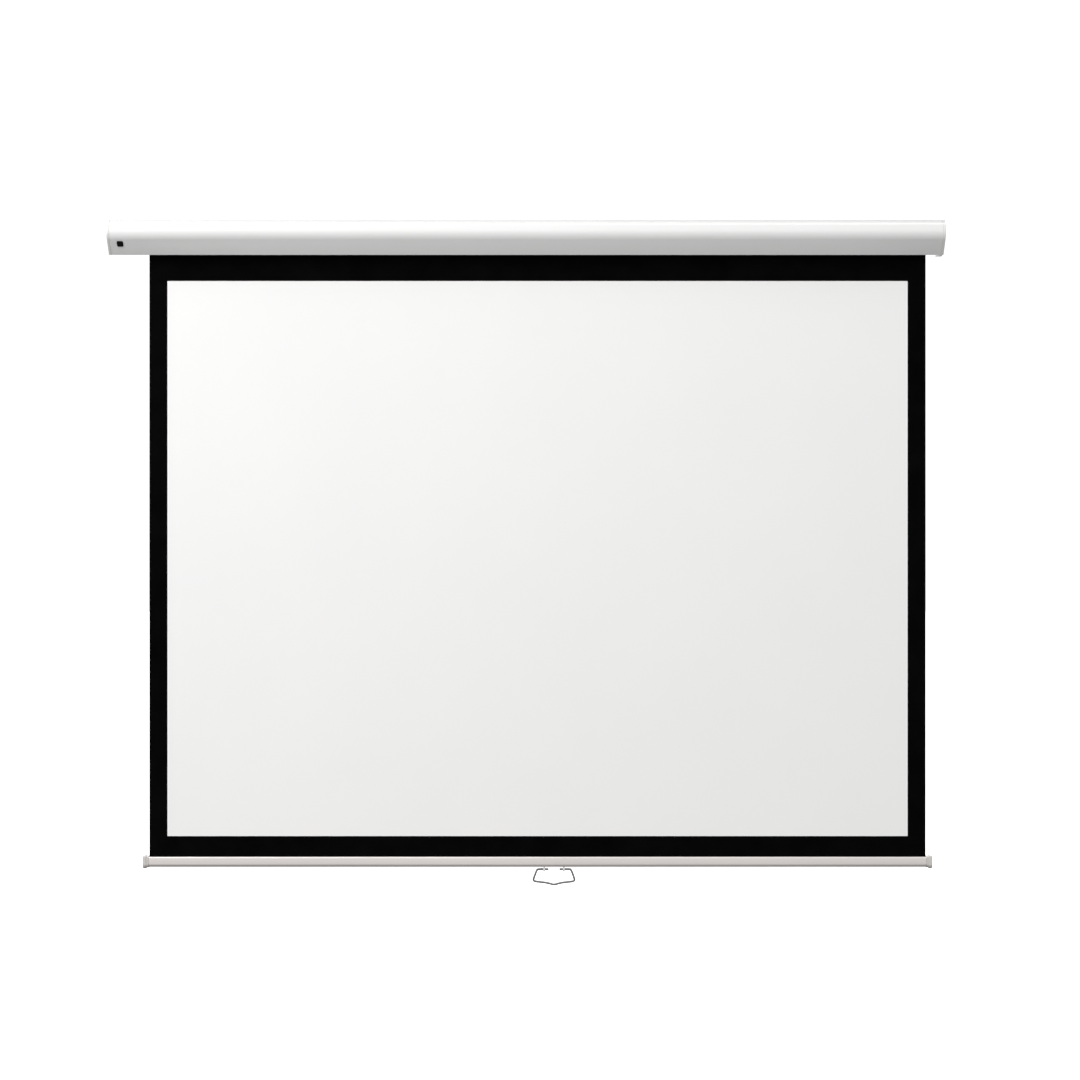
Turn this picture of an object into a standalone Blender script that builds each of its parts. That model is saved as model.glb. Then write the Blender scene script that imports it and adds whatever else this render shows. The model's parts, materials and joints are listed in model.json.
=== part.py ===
# Pull-down projector screen: aluminium casing, spring roller, fabric, bottom bar and wire handle.
# Metres, +Z up. X runs along the casing, Y = 0 is the wall, the front faces -Y,
# and Z = 0 is 41 mm above the casing's lower edge.
import math

import bmesh
import bpy
from mathutils import Matrix, Vector

# Clearances
GAP = 0.0003
RUNNING_GAP = 0.0003
CUT_MARGIN = 0.001

# Picture and fabric, which the casing and the bar are cut to
WHITE_WIDTH = 1.707
WHITE_HEIGHT = 1.280
WHITE_THICKNESS = 0.0002
SIDE_BORDER = 0.0415
TOP_BORDER = 0.0571
BOTTOM_BORDER = 0.0474
FABRIC_OFFSET = 0.0259
FABRIC_THICKNESS = 0.0004
CASING_SPARE = 0.0567

# Casing section
CASING_DEPTH = 0.080
CASING_HEIGHT = 0.078
BASE_DROP = 0.041
WALL = 0.0018
RAIL_HEIGHT = 0.0085
RAIL_WIDTH = 0.018
RAIL_FRONT = 0.066
RAIL_WALL = 0.0016
RAIL_LIP = 0.0036
FRONT_CORNER_RADIUS = 0.005
FRONT_FLAT = 0.0115
ROLL_RADIUS = 0.035
CREASE_TURN = math.radians(3)
FRONT_EDGE_DEPTH = 0.047
UNDERSIDE_RISE = 0.0065
SLOT_WIDTH = 0.014
SLOT_UPTURN = 0.004
BACK_RECESS_DEPTH = 0.007
BACK_RECESS_BASE = 0.001
CLEAT_LIP_LENGTH = 0.0132
BACK_CORNER_RADIUS = 0.0015
CORNER_STEPS = 4
ROLL_STEPS = 10

# Screw ports in the extrusion
PORT_OUTER = 0.0038
PORT_INNER = 0.00195
PORT_SLIT = math.radians(50)
PORT_SINK = 0.0004

# End caps, end plates and their screws
CAP_THICKNESS = 0.006
PLATE_THICKNESS = 0.002
PLATE_INSET = 0.0028
SCREW_RADIUS = 0.0016
SCREW_LENGTH = 0.016
SCREW_HEAD_RADIUS = 0.0036
SCREW_HEAD_HEIGHT = 0.002
SCREW_HEAD_EDGE = 0.0008
HEAD_POCKET_DEPTH = 0.0023
CAP_TAB_WIDTH = 0.0135
CAP_TAB_FROM_SIDE = 0.003
CAP_TAB_DEPTH = 0.012
CAP_TAB_DROP = 0.0018

# Wall brackets
BRACKET_WIDTH = 0.060
BRACKET_FROM_END = 0.2517
BRACKET_METAL = 0.002
BRACKET_TONGUE = 0.010
BRACKET_BASE_GAP = 0.0006
BRACKET_HOLE_RADIUS = 0.0026
BRACKET_HOLE_SPACING = 0.040
BRACKET_HOLE_HEIGHT = 0.0075

# Blanking plug on the sloping lower face
BLANK_SIZE = 0.0144
BLANK_STEM = 0.012
BLANK_PROUD = 0.0010
BLANK_FROM_END = 0.0231
BLANK_PLACE = 0.215
BLANK_CORNER = 0.003

# Roller
ROLLER_HEIGHT = 0.002
TUBE_RADIUS = 0.019
TUBE_WALL = 0.0012
TUBE_END_SPACE = 0.0193
PLUG_FLANGE_RADIUS = 0.021
PLUG_FLANGE = 0.003
PLUG_LENGTH = 0.030
WRAP_THICKNESS = 0.0013
ROUND_SIDES = 32
SMALL_SIDES = 16

# Spring side, at the left end
SPINDLE_RADIUS = 0.005
SPINDLE_PAST_ANCHOR = 0.0052
TANG_LENGTH = 0.007
TANG_REACH = 0.00175
SHAFT_POCKET_ROOM = 0.0009
TANG_WIDTH = 0.008
TANG_THICKNESS = 0.004
BUSH_WALL = 0.0018
COLLAR_RADIUS = 0.0125
COLLAR_LENGTH = 0.010
SPRING_TURNS = 28
SPRING_WIRE = 0.00125
SPRING_RADIUS = 0.0095
SPRING_LENGTH = 0.360
SPRING_STEPS = 8
ANCHOR_LENGTH = 0.020

# Ratchet lock
HUB_RADIUS = 0.010
HUB_THICKNESS = 0.006
HUB_NOTCHES = 4
HUB_TO_FLANGE = 0.0024
PAWL_THICKNESS = 0.005
PAWL_PIVOT = (0.006, 0.013)
PAWL_REACH = 0.010
PAWL_EYE = 0.0028
PAWL_TIP_TOP = 0.0012
PAWL_TIP_BASE = 0.0014
PAWL_PIN_RADIUS = 0.00125
PAWL_PIN_OVERRUN = 0.001
NOTCH_STEEP_SIDE = 0.0042
NOTCH_DEPTH = 0.0023
NOTCH_RUN = 0.0084
NOTCH_RISE = 0.0013
NOTCH_CLEAR = 0.004

# Idle side, at the right end
IDLE_PIN_RADIUS = 0.004
BEARING_WALL = 0.0024
BEARING_FLANGE = 0.0022
BEARING_FLANGE_RADIUS = 0.009
BEARING_REACH = 0.0010

# Bottom bar
BAR_HEIGHT = 0.024
BAR_DEPTH = 0.018
BAR_WALL = 0.0012
BAR_OVERHANG = 0.0005
BAR_TOP_CORNER = 0.002
BAR_KEEL = 0.008
BAR_TOP_SLOT = 0.0036
BAR_KEEL_SLOT = 0.0050
BAR_WEB_HEIGHT = 0.0005
HEM_RADIUS = 0.0032
HEM_WALL = 0.0009
SPLINE_RADIUS = 0.0019
HEM_END_SPACE = 0.001
PARK_GAP = 0.0033

# Bar caps
BAR_CAP_HEAD = 0.0085
BAR_CAP_NECK = 0.0050
BAR_CAP_HEAD_GROW = 0.0032
BAR_CAP_NECK_GROW = 0.0012
BAR_CAP_SPIGOT = 0.012
BAR_CAP_SPIGOT_HEIGHT = 0.004
BAR_CAP_EDGE = 0.0022

# Handle
HANDLE_OFFSET = 0.0380
HANDLE_DROP = 0.005
HANDLE_WIRE = 0.0025
HANDLE_WIRE_END = 0.0125
HANDLE_SHOULDER = 0.035
HANDLE_HALF_WIDTH = 0.0472
HANDLE_SIDE_DROP = 0.0246
HANDLE_BASE_DROP = 0.0302
HANDLE_NOSE_DROP = 0.0352
HANDLE_NOSE_HALF = 0.010
HANDLE_BEND = 0.0045
HANDLE_FLARE = 0.0006
HANDLE_STEPS = 3
CLIP_SPACING = 0.0456
CLIP_LENGTH = 0.0042
CLIP_WALL = 0.0016
CLIP_NECK = 0.0040
CLIP_FOOT_WIDTH = 0.009
CLIP_FOOT_HEIGHT = 0.002

# Places worked out from the sizes above
FABRIC_WIDTH = WHITE_WIDTH + 2 * SIDE_BORDER
CASING_LENGTH = FABRIC_WIDTH + 2 * CASING_SPARE
WHITE_TOP = BASE_DROP + TOP_BORDER
BAR_TOP = WHITE_TOP + WHITE_HEIGHT + BOTTOM_BORDER
CASING_BASE = -BASE_DROP
CASING_TOP = CASING_BASE + CASING_HEIGHT
ROOF = CASING_TOP - RAIL_HEIGHT
CASING_END = CASING_LENGTH / 2
CAP_INNER = CASING_END + GAP
CAP_OUTER = CAP_INNER + CAP_THICKNESS
POCKET_FLOOR = CAP_INNER + PLATE_THICKNESS + GAP
WRAP_RADIUS = TUBE_RADIUS + GAP + WRAP_THICKNESS
SLOT_CENTRE = 0.023
FABRIC_Y = -SLOT_CENTRE
ROLLER_Y = FABRIC_Y - FABRIC_THICKNESS / 2 - GAP - WRAP_RADIUS
TUBE_END = CASING_END - TUBE_END_SPACE
FLANGE_FACE = TUBE_END + GAP + PLUG_FLANGE
BAR_END = FABRIC_WIDTH / 2 + BAR_OVERHANG
BAR_Z = -BAR_TOP - BAR_HEIGHT / 2
HEM_Z = BAR_Z + BAR_HEIGHT / 2 - BAR_WALL - GAP - HEM_RADIUS
HANDLE_X = FABRIC_OFFSET + HANDLE_OFFSET
HANDLE_Z = BAR_Z - BAR_HEIGHT / 2 - HANDLE_DROP
HUB_FACE = FLANGE_FACE + HUB_TO_FLANGE
ROLL_CENTRE = Vector((-CASING_DEPTH + ROLL_RADIUS, ROOF - FRONT_CORNER_RADIUS - FRONT_FLAT))
LOWER_FACE_END = Vector((-FRONT_EDGE_DEPTH, CASING_BASE))
ROLL_TO_EDGE = LOWER_FACE_END - ROLL_CENTRE
TANGENT_TURN = math.asin(ROLL_RADIUS / ROLL_TO_EDGE.length) + math.atan2(ROLL_TO_EDGE.x, -ROLL_TO_EDGE.y)
ROLL_TURN = TANGENT_TURN + CREASE_TURN
LOWER_FACE_START = ROLL_CENTRE - ROLL_RADIUS * Vector((math.cos(ROLL_TURN), math.sin(ROLL_TURN)))
LOWER_FACE_ALONG = (LOWER_FACE_END - LOWER_FACE_START).normalized()
LOWER_FACE_OUT = Vector((LOWER_FACE_ALONG.y, -LOWER_FACE_ALONG.x))
UNDERSIDE_TILT = math.atan2(UNDERSIDE_RISE, FRONT_EDGE_DEPTH)
UNDERSIDE_OUT = Vector((math.sin(UNDERSIDE_TILT), -math.cos(UNDERSIDE_TILT)))


def clear_scene():
    for obj in list(bpy.data.objects):
        bpy.data.objects.remove(obj, do_unlink=True)


def new_collection(name):
    collection = bpy.data.collections.new(name)
    bpy.context.scene.collection.children.link(collection)
    return collection


def finish(name, colour, roughness, metallic):
    """A plain Principled finish with a piece's colour."""
    material = bpy.data.materials.new(name)
    material.use_nodes = True
    shader = material.node_tree.nodes["Principled BSDF"]
    shader.inputs["Base Color"].default_value = (*colour, 1)
    shader.inputs["Roughness"].default_value = roughness
    shader.inputs["Metallic"].default_value = metallic
    material.diffuse_color = (*colour, 1)
    return material


clear_scene()
PARTS = new_collection("projector_screen")
CUTTERS = new_collection("cutters")

WHITE_PAINT = ((0.80, 0.80, 0.79), 0.35, 0.0)
WHITE_PLASTIC = ((0.74, 0.74, 0.73), 0.45, 0.0)
BLACK_PLASTIC = ((0.015, 0.015, 0.016), 0.4, 0.0)
GREY_NYLON = ((0.42, 0.42, 0.41), 0.5, 0.0)
STEEL = ((0.52, 0.53, 0.55), 0.3, 1.0)
SPRING_STEEL = ((0.30, 0.30, 0.31), 0.35, 1.0)
BRASS = ((0.60, 0.46, 0.24), 0.35, 1.0)
SATIN_ALUMINIUM = ((0.66, 0.63, 0.61), 0.35, 1.0)
GREY_WIRE = ((0.40, 0.40, 0.40), 0.4, 0.6)
BLACK_CLOTH = ((0.008, 0.008, 0.008), 0.9, 0.0)
WHITE_CLOTH = ((0.82, 0.83, 0.83), 0.8, 0.0)


def place(obj, look, parent=None):
    """Put a finished piece in the parts collection with its own finish and parent."""
    for collection in list(obj.users_collection):
        collection.objects.unlink(obj)
    PARTS.objects.link(obj)
    if look:
        obj.data.materials.clear()
        obj.data.materials.append(finish(obj.name + "_finish", *look))
    if parent:
        obj.parent = parent
        obj.matrix_parent_inverse = Matrix.Translation(parent.location).inverted()
    return obj


def as_tool(obj):
    """Keep an object only as a shape that others are cut or joined with."""
    for collection in list(obj.users_collection):
        collection.objects.unlink(obj)
    CUTTERS.objects.link(obj)
    obj.hide_render = True
    obj.display_type = 'WIRE'
    return obj


def boolean(obj, tool, operation):
    modifier = obj.modifiers.new(tool.name, 'BOOLEAN')
    modifier.object = as_tool(tool)
    modifier.operation = operation
    modifier.solver = 'EXACT'


def pivot(name, location, parent=None):
    """An empty on a moving group's axis."""
    empty = bpy.data.objects.new(name, None)
    empty.empty_display_size = 0.02
    empty.location = location
    return place(empty, None, parent)


def mesh_object(name, mesh):
    obj = bpy.data.objects.new(name, mesh)
    bpy.context.scene.collection.objects.link(obj)
    return obj


def curve_to_mesh(curve_object):
    """Turn a curve into a welded mesh object with the same name and place."""
    bpy.context.view_layer.update()
    evaluated = curve_object.evaluated_get(bpy.context.evaluated_depsgraph_get())
    mesh = bpy.data.meshes.new_from_object(evaluated)
    work = bmesh.new()
    work.from_mesh(mesh)
    bmesh.ops.remove_doubles(work, verts=work.verts, dist=0.000005)
    work.to_mesh(mesh)
    work.free()
    name = curve_object.name
    matrix = curve_object.matrix_world.copy()
    curve_object.name = name + "_curve"
    obj = mesh_object(name, mesh)
    obj.matrix_world = matrix
    bpy.data.objects.remove(curve_object, do_unlink=True)
    return obj


SECTION_TO_WORLD = Matrix(((0, 0, 1), (1, 0, 0), (0, 1, 0))).to_euler()


def section(name, points, x_low, x_high, closed=True):
    """Run a (y, z) outline or open line along X as a solid or as a ribbon."""
    curve = bpy.data.curves.new(name, 'CURVE')
    curve.dimensions = '2D'
    curve.fill_mode = 'BOTH' if closed else 'NONE'
    curve.extrude = (x_high - x_low) / 2
    spline = curve.splines.new('POLY')
    spline.points.add(len(points) - 1)
    for point, (y, z) in zip(spline.points, points):
        point.co = (y, z, 0, 1)
    spline.use_cyclic_u = closed
    obj = mesh_object(name, curve)
    obj.rotation_euler = SECTION_TO_WORLD
    obj.location = ((x_low + x_high) / 2, 0, 0)
    return curve_to_mesh(obj)


def arc(centre, radii, start, end, steps):
    """Points on a circle or ellipse, angles in degrees from +Y towards +Z."""
    points = []
    for step in range(steps + 1):
        angle = math.radians(start + (end - start) * step / steps)
        points.append((centre[0] + radii[0] * math.cos(angle), centre[1] + radii[1] * math.sin(angle)))
    return points


def box(name, low, high):
    mesh = bpy.data.meshes.new(name)
    work = bmesh.new()
    bmesh.ops.create_cube(work, size=1)
    size = Vector(high) - Vector(low)
    bmesh.ops.scale(work, vec=size, verts=work.verts)
    work.to_mesh(mesh)
    work.free()
    obj = mesh_object(name, mesh)
    obj.location = (Vector(low) + Vector(high)) / 2
    return obj


def rod(name, radius, start, end, sides=SMALL_SIDES):
    """A round bar between two points."""
    start = Vector(start)
    end = Vector(end)
    mesh = bpy.data.meshes.new(name)
    work = bmesh.new()
    bmesh.ops.create_cone(work, cap_ends=True, segments=sides, radius1=radius, radius2=radius,
                          depth=(end - start).length)
    work.to_mesh(mesh)
    work.free()
    mesh.shade_smooth()
    mesh.set_sharp_from_angle(angle=math.radians(40))
    obj = mesh_object(name, mesh)
    obj.location = (start + end) / 2
    obj.rotation_euler = (end - start).to_track_quat('Z', 'Y').to_euler()
    return obj


def turned(name, profile, y, z, closed=False, sides=ROUND_SIDES):
    """Turn a profile of (radius, x) points about an axis along X, from high x to low x outside."""
    mesh = bpy.data.meshes.new(name)
    work = bmesh.new()
    verts = [work.verts.new((radius, 0, x)) for radius, x in profile]
    pairs = list(zip(verts, verts[1:]))
    if closed:
        pairs.append((verts[-1], verts[0]))
    for first, second in pairs:
        work.edges.new((first, second))
    work.to_mesh(mesh)
    work.free()
    obj = mesh_object(name, mesh)
    obj.location = (0, y, z)
    obj.rotation_euler = (0, math.pi / 2, 0)
    screw = obj.modifiers.new("turn", 'SCREW')
    screw.steps = sides
    screw.render_steps = sides
    screw.use_merge_vertices = True
    screw.merge_threshold = 0.00001
    screw.use_smooth_shade = False
    return obj


def ring(name, inner, outer, x_low, x_high, y=ROLLER_Y, z=ROLLER_HEIGHT, sides=ROUND_SIDES):
    profile = [(outer, x_high), (outer, x_low), (inner, x_low), (inner, x_high)]
    return turned(name, profile, y, z, closed=True, sides=sides)


def wire(name, points, radius, resolution=2):
    """A round wire with filled ends along a list of points."""
    curve = bpy.data.curves.new(name, 'CURVE')
    curve.dimensions = '3D'
    curve.bevel_depth = radius
    curve.bevel_resolution = resolution
    curve.use_fill_caps = True
    spline = curve.splines.new('POLY')
    spline.points.add(len(points) - 1)
    for point, place_of_point in zip(spline.points, points):
        point.co = (*place_of_point, 1)
    return curve_to_mesh(mesh_object(name, curve))


def front_faces(inset):
    """The rounded top corner, the upright front, and the large roll to the crease of the lower face."""
    corner = FRONT_CORNER_RADIUS - inset
    roll = ROLL_RADIUS - inset
    corner_centre = (-CASING_DEPTH + FRONT_CORNER_RADIUS, ROOF - FRONT_CORNER_RADIUS)
    points = arc(corner_centre, (corner, corner), 90, 180, CORNER_STEPS)
    return points + arc(tuple(ROLL_CENTRE), (roll, roll), 180, 180 + math.degrees(ROLL_TURN), ROLL_STEPS)


def above_underside(depth, distance=0.0):
    """A height at a depth from the wall, at a distance above the underside, which rises to the back."""
    line = CASING_BASE + UNDERSIDE_RISE * (1 - depth / FRONT_EDGE_DEPTH)
    return line + distance / math.cos(UNDERSIDE_TILT)


def back_corner(inset):
    radius = BACK_CORNER_RADIUS
    away = inset + radius
    centre = (-away, above_underside(away, away))
    return arc(centre, (radius, radius), math.degrees(UNDERSIDE_TILT) - 90, 0, 2)


def closed_section(inset, with_rail=False):
    """The casing's outline with its slot and recess closed, moved inwards by the inset."""
    points = back_corner(inset)
    points.append((-inset, ROOF - inset))
    if with_rail:
        points.append((-RAIL_FRONT + RAIL_WIDTH, ROOF - inset))
        points.append((-RAIL_FRONT + RAIL_WIDTH, CASING_TOP))
        points.append((-RAIL_FRONT, CASING_TOP))
        points.append((-RAIL_FRONT, ROOF - inset))
    points += front_faces(inset)
    mitre = (LOWER_FACE_OUT + UNDERSIDE_OUT) / (1 + LOWER_FACE_OUT.dot(UNDERSIDE_OUT))
    points.append(tuple(LOWER_FACE_END - inset * mitre))
    return points


def mirror_ends(points, side):
    """Order an X span for the left (-1) or right (+1) end."""
    low, high = sorted((points[0] * side, points[1] * side))
    return low, high


PORT_AWAY = WALL + PORT_OUTER - PORT_SINK
PORTS = (
    (-BACK_RECESS_DEPTH - PORT_AWAY, ROOF - PORT_AWAY, -45),
    (-PORT_AWAY, above_underside(PORT_AWAY, PORT_AWAY), 135),
    (-FRONT_EDGE_DEPTH + PORT_AWAY, above_underside(FRONT_EDGE_DEPTH - PORT_AWAY, PORT_AWAY), 45),
)


def port_outline(y, z, slit_angle):
    """A C-shaped screw port whose slit faces into the casing."""
    slit = math.degrees(PORT_SLIT) / 2
    start = slit_angle + slit
    end = slit_angle + 360 - slit
    outer = arc((y, z), (PORT_OUTER, PORT_OUTER), start, end, 16)
    inner = arc((y, z), (PORT_INNER, PORT_INNER), end, start, 12)
    return outer + inner


def rail_rib(front):
    """One hooked rib of the hanging rail along the casing's top."""
    outside = -RAIL_FRONT if front else -RAIL_FRONT + RAIL_WIDTH
    inward = 1 if front else -1
    root = ROOF - WALL / 2
    return [
        (outside, root),
        (outside, CASING_TOP),
        (outside + inward * (RAIL_WALL + RAIL_LIP), CASING_TOP),
        (outside + inward * (RAIL_WALL + RAIL_LIP), CASING_TOP - RAIL_WALL),
        (outside + inward * RAIL_WALL, CASING_TOP - RAIL_WALL),
        (outside + inward * RAIL_WALL, root),
    ]


def make_casing():
    slot_rear = -SLOT_CENTRE + SLOT_WIDTH / 2
    slot_front = -SLOT_CENTRE - SLOT_WIDTH / 2
    rear_lip, front_lip = above_underside(-slot_rear), above_underside(-slot_front)
    path = [(slot_rear, rear_lip + SLOT_UPTURN), (slot_rear, rear_lip)]
    path += back_corner(0)
    path += [
        (0, BACK_RECESS_BASE),
        (-BACK_RECESS_DEPTH, BACK_RECESS_BASE),
        (-BACK_RECESS_DEPTH, ROOF),
    ]
    path += front_faces(0)
    path += [tuple(LOWER_FACE_END), (slot_front, front_lip), (slot_front, front_lip + SLOT_UPTURN)]
    casing = section("casing_extrusion", path, -CASING_END, CASING_END, closed=False)
    shell = casing.modifiers.new("wall", 'SOLIDIFY')
    shell.thickness = WALL
    shell.offset = 1
    shell.use_even_offset = True
    cleat = [
        (0, ROOF),
        (0, ROOF - CLEAT_LIP_LENGTH),
        (-WALL, ROOF - CLEAT_LIP_LENGTH),
        (-WALL, ROOF - WALL),
        (-BACK_RECESS_DEPTH - WALL / 2, ROOF - WALL),
        (-BACK_RECESS_DEPTH - WALL / 2, ROOF),
    ]
    boolean(casing, section("cleat_lip", cleat, -CASING_END, CASING_END), 'UNION')
    for front in (True, False):
        rib = section("rail_rib", rail_rib(front), -CASING_END, CASING_END)
        boolean(casing, rib, 'UNION')
    for y, z, slit_angle in PORTS:
        port = section("screw_port", port_outline(y, z, slit_angle), -CASING_END, CASING_END)
        boolean(casing, port, 'UNION')
    window = blank_block("blank_hole", BLANK_STEM, -WALL * 2, WALL, 0)
    boolean(casing, window, 'DIFFERENCE')
    return place(casing, WHITE_PAINT)


def blank_block(name, size, inner, outer, corner):
    """A square block standing on the sloping lower face near the left end."""
    outward = LOWER_FACE_OUT
    middle = LOWER_FACE_START.lerp(LOWER_FACE_END, BLANK_PLACE)
    centre = middle + outward * (inner + outer) / 2
    half = size / 2
    thick = (outer - inner) / 2
    block = box(name, (-half, -half, -thick), (half, half, thick))
    block.location = (-CASING_END + BLANK_FROM_END, centre.x, centre.y)
    block.rotation_euler = (math.atan2(-outward.x, outward.y), 0, 0)
    if corner:
        bevel = block.modifiers.new("corners", 'BEVEL')
        bevel.width = corner
        bevel.segments = 3
        bevel.limit_method = 'WEIGHT'
        work = bmesh.new()
        work.from_mesh(block.data)
        weights = work.edges.layers.float.new("bevel_weight_edge")
        for edge in work.edges:
            upright = abs((edge.verts[0].co - edge.verts[1].co).normalized().z) > 0.9
            edge[weights] = 1.0 if upright else 0.0
        work.to_mesh(block.data)
        work.free()
    return block


def make_blanking_plug():
    plug = blank_block("blanking_plug", BLANK_SIZE, GAP, GAP + BLANK_PROUD, BLANK_CORNER)
    stem = blank_block("blank_stem", BLANK_STEM - 2 * GAP, -WALL, GAP + BLANK_PROUD / 2, 0)
    boolean(plug, stem, 'UNION')
    place(plug, BLACK_PLASTIC)


def add_pull_tab(cap):
    """The small tab under the right cap that reaches below the casing's edge."""
    back = -FRONT_EDGE_DEPTH + WALL + CAP_TAB_DEPTH
    outside = CAP_OUTER - CAP_TAB_FROM_SIDE
    low_edge = CASING_BASE - CAP_TAB_DROP
    reach = box("cap_tab", (outside - CAP_TAB_WIDTH, back - CAP_TAB_DEPTH, low_edge),
                (outside, back, CASING_BASE - GAP))
    root = box("cap_tab_root", (CAP_INNER, back - CAP_TAB_DEPTH, low_edge),
               (outside, back, above_underside(-back) + WALL))
    boolean(cap, reach, 'UNION')
    boolean(cap, root, 'UNION')


def make_end(side, label):
    """The cap and steel plate that close one end of the casing."""
    low, high = mirror_ends((CAP_INNER, CAP_OUTER), side)
    cap = section(label + "_end_cap", closed_section(0, with_rail=True), low, high)
    if side > 0:
        add_pull_tab(cap)
    low, high = mirror_ends((CAP_INNER - GAP, POCKET_FLOOR), side)
    pocket = section(label + "_plate_pocket", closed_section(PLATE_INSET - GAP), low, high)
    boolean(cap, pocket, 'DIFFERENCE')
    shaft_pocket = rod(label + "_shaft_pocket", SPINDLE_RADIUS + SHAFT_POCKET_ROOM,
                       (side * CAP_INNER, ROLLER_Y, ROLLER_HEIGHT),
                       (side * (POCKET_FLOOR + TANG_REACH), ROLLER_Y, ROLLER_HEIGHT))
    boolean(cap, shaft_pocket, 'DIFFERENCE')
    low, high = mirror_ends((CAP_INNER, CAP_INNER + PLATE_THICKNESS), side)
    plate = section(label + "_end_plate", closed_section(PLATE_INSET), low, high)
    for y, z, _ in PORTS:
        through = ((side * CASING_END, y, z), (side * (CAP_OUTER + GAP), y, z))
        boolean(cap, rod("cap_screw_hole", SCREW_RADIUS + GAP, *through), 'DIFFERENCE')
        boolean(plate, rod("plate_screw_hole", SCREW_RADIUS + GAP, *through), 'DIFFERENCE')
        head = ((side * (CAP_OUTER - HEAD_POCKET_DEPTH), y, z), (side * (CAP_OUTER + GAP), y, z))
        boolean(cap, rod("head_pocket", SCREW_HEAD_RADIUS + GAP, *head), 'DIFFERENCE')
    return cap, plate


def make_ends():
    left_cap, left_plate = make_end(-1, "left")
    right_cap, right_plate = make_end(1, "right")
    slot_low = (-CAP_OUTER, ROLLER_Y - TANG_THICKNESS / 2 - GAP, ROLLER_HEIGHT - TANG_WIDTH / 2 - GAP)
    slot_high = (-CASING_END, ROLLER_Y + TANG_THICKNESS / 2 + GAP, ROLLER_HEIGHT + TANG_WIDTH / 2 + GAP)
    boolean(left_plate, box("tang_slot", slot_low, slot_high), 'DIFFERENCE')
    bearing_hole = IDLE_PIN_RADIUS + RUNNING_GAP + BEARING_WALL + GAP
    boolean(right_plate, rod("bearing_hole", bearing_hole, (CASING_END, ROLLER_Y, ROLLER_HEIGHT),
                             (CAP_OUTER, ROLLER_Y, ROLLER_HEIGHT), ROUND_SIDES), 'DIFFERENCE')
    bearing_end = POCKET_FLOOR + BEARING_REACH
    boolean(right_cap, rod("bearing_pocket", bearing_hole, (CAP_INNER, ROLLER_Y, ROLLER_HEIGHT),
                           (bearing_end + GAP, ROLLER_Y, ROLLER_HEIGHT), ROUND_SIDES), 'DIFFERENCE')
    for cap in (left_cap, right_cap):
        place(cap, WHITE_PLASTIC)
    for plate in (left_plate, right_plate):
        place(plate, STEEL)


def make_cap_screws():
    """Three pan-head screws in each end cap, turned as stepped bars along X."""
    head_in = CAP_OUTER - HEAD_POCKET_DEPTH + GAP
    head_out = head_in + SCREW_HEAD_HEIGHT
    tip = head_in - SCREW_LENGTH
    right_profile = [
        (0, head_out),
        (SCREW_HEAD_RADIUS - SCREW_HEAD_EDGE, head_out),
        (SCREW_HEAD_RADIUS, head_out - SCREW_HEAD_EDGE),
        (SCREW_HEAD_RADIUS, head_in),
        (SCREW_RADIUS, head_in),
        (SCREW_RADIUS, tip),
        (0, tip),
    ]
    left_profile = [(radius, -x) for radius, x in reversed(right_profile)]
    for label, profile in (("left", left_profile), ("right", right_profile)):
        for number, (y, z, _) in enumerate(PORTS, start=1):
            screw = turned(f"{label}_cap_screw_{number}", profile, y, z, sides=12)
            place(screw, STEEL)


def make_wall_brackets():
    jog_top = ROOF - CLEAT_LIP_LENGTH - GAP
    tongue_back = -WALL - GAP
    base = BACK_RECESS_BASE + BRACKET_BASE_GAP
    outline = [
        (0, base),
        (0, jog_top),
        (tongue_back, jog_top),
        (tongue_back, jog_top + BRACKET_TONGUE),
        (tongue_back - BRACKET_METAL, jog_top + BRACKET_TONGUE),
        (tongue_back - BRACKET_METAL, jog_top - BRACKET_METAL),
        (-BRACKET_METAL, jog_top - BRACKET_METAL),
        (-BRACKET_METAL, base),
    ]
    for side, label in ((-1, "left"), (1, "right")):
        middle = side * (CASING_END - BRACKET_FROM_END)
        bracket = section(label + "_wall_bracket", outline, middle - BRACKET_WIDTH / 2,
                          middle + BRACKET_WIDTH / 2)
        for hole_side in (-1, 1):
            x = middle + hole_side * BRACKET_HOLE_SPACING / 2
            z = base + BRACKET_HOLE_HEIGHT
            hole = rod("wall_screw_hole", BRACKET_HOLE_RADIUS, (x, -0.004, z), (x, 0.002, z))
            boolean(bracket, hole, 'DIFFERENCE')
        place(bracket, STEEL)


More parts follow.
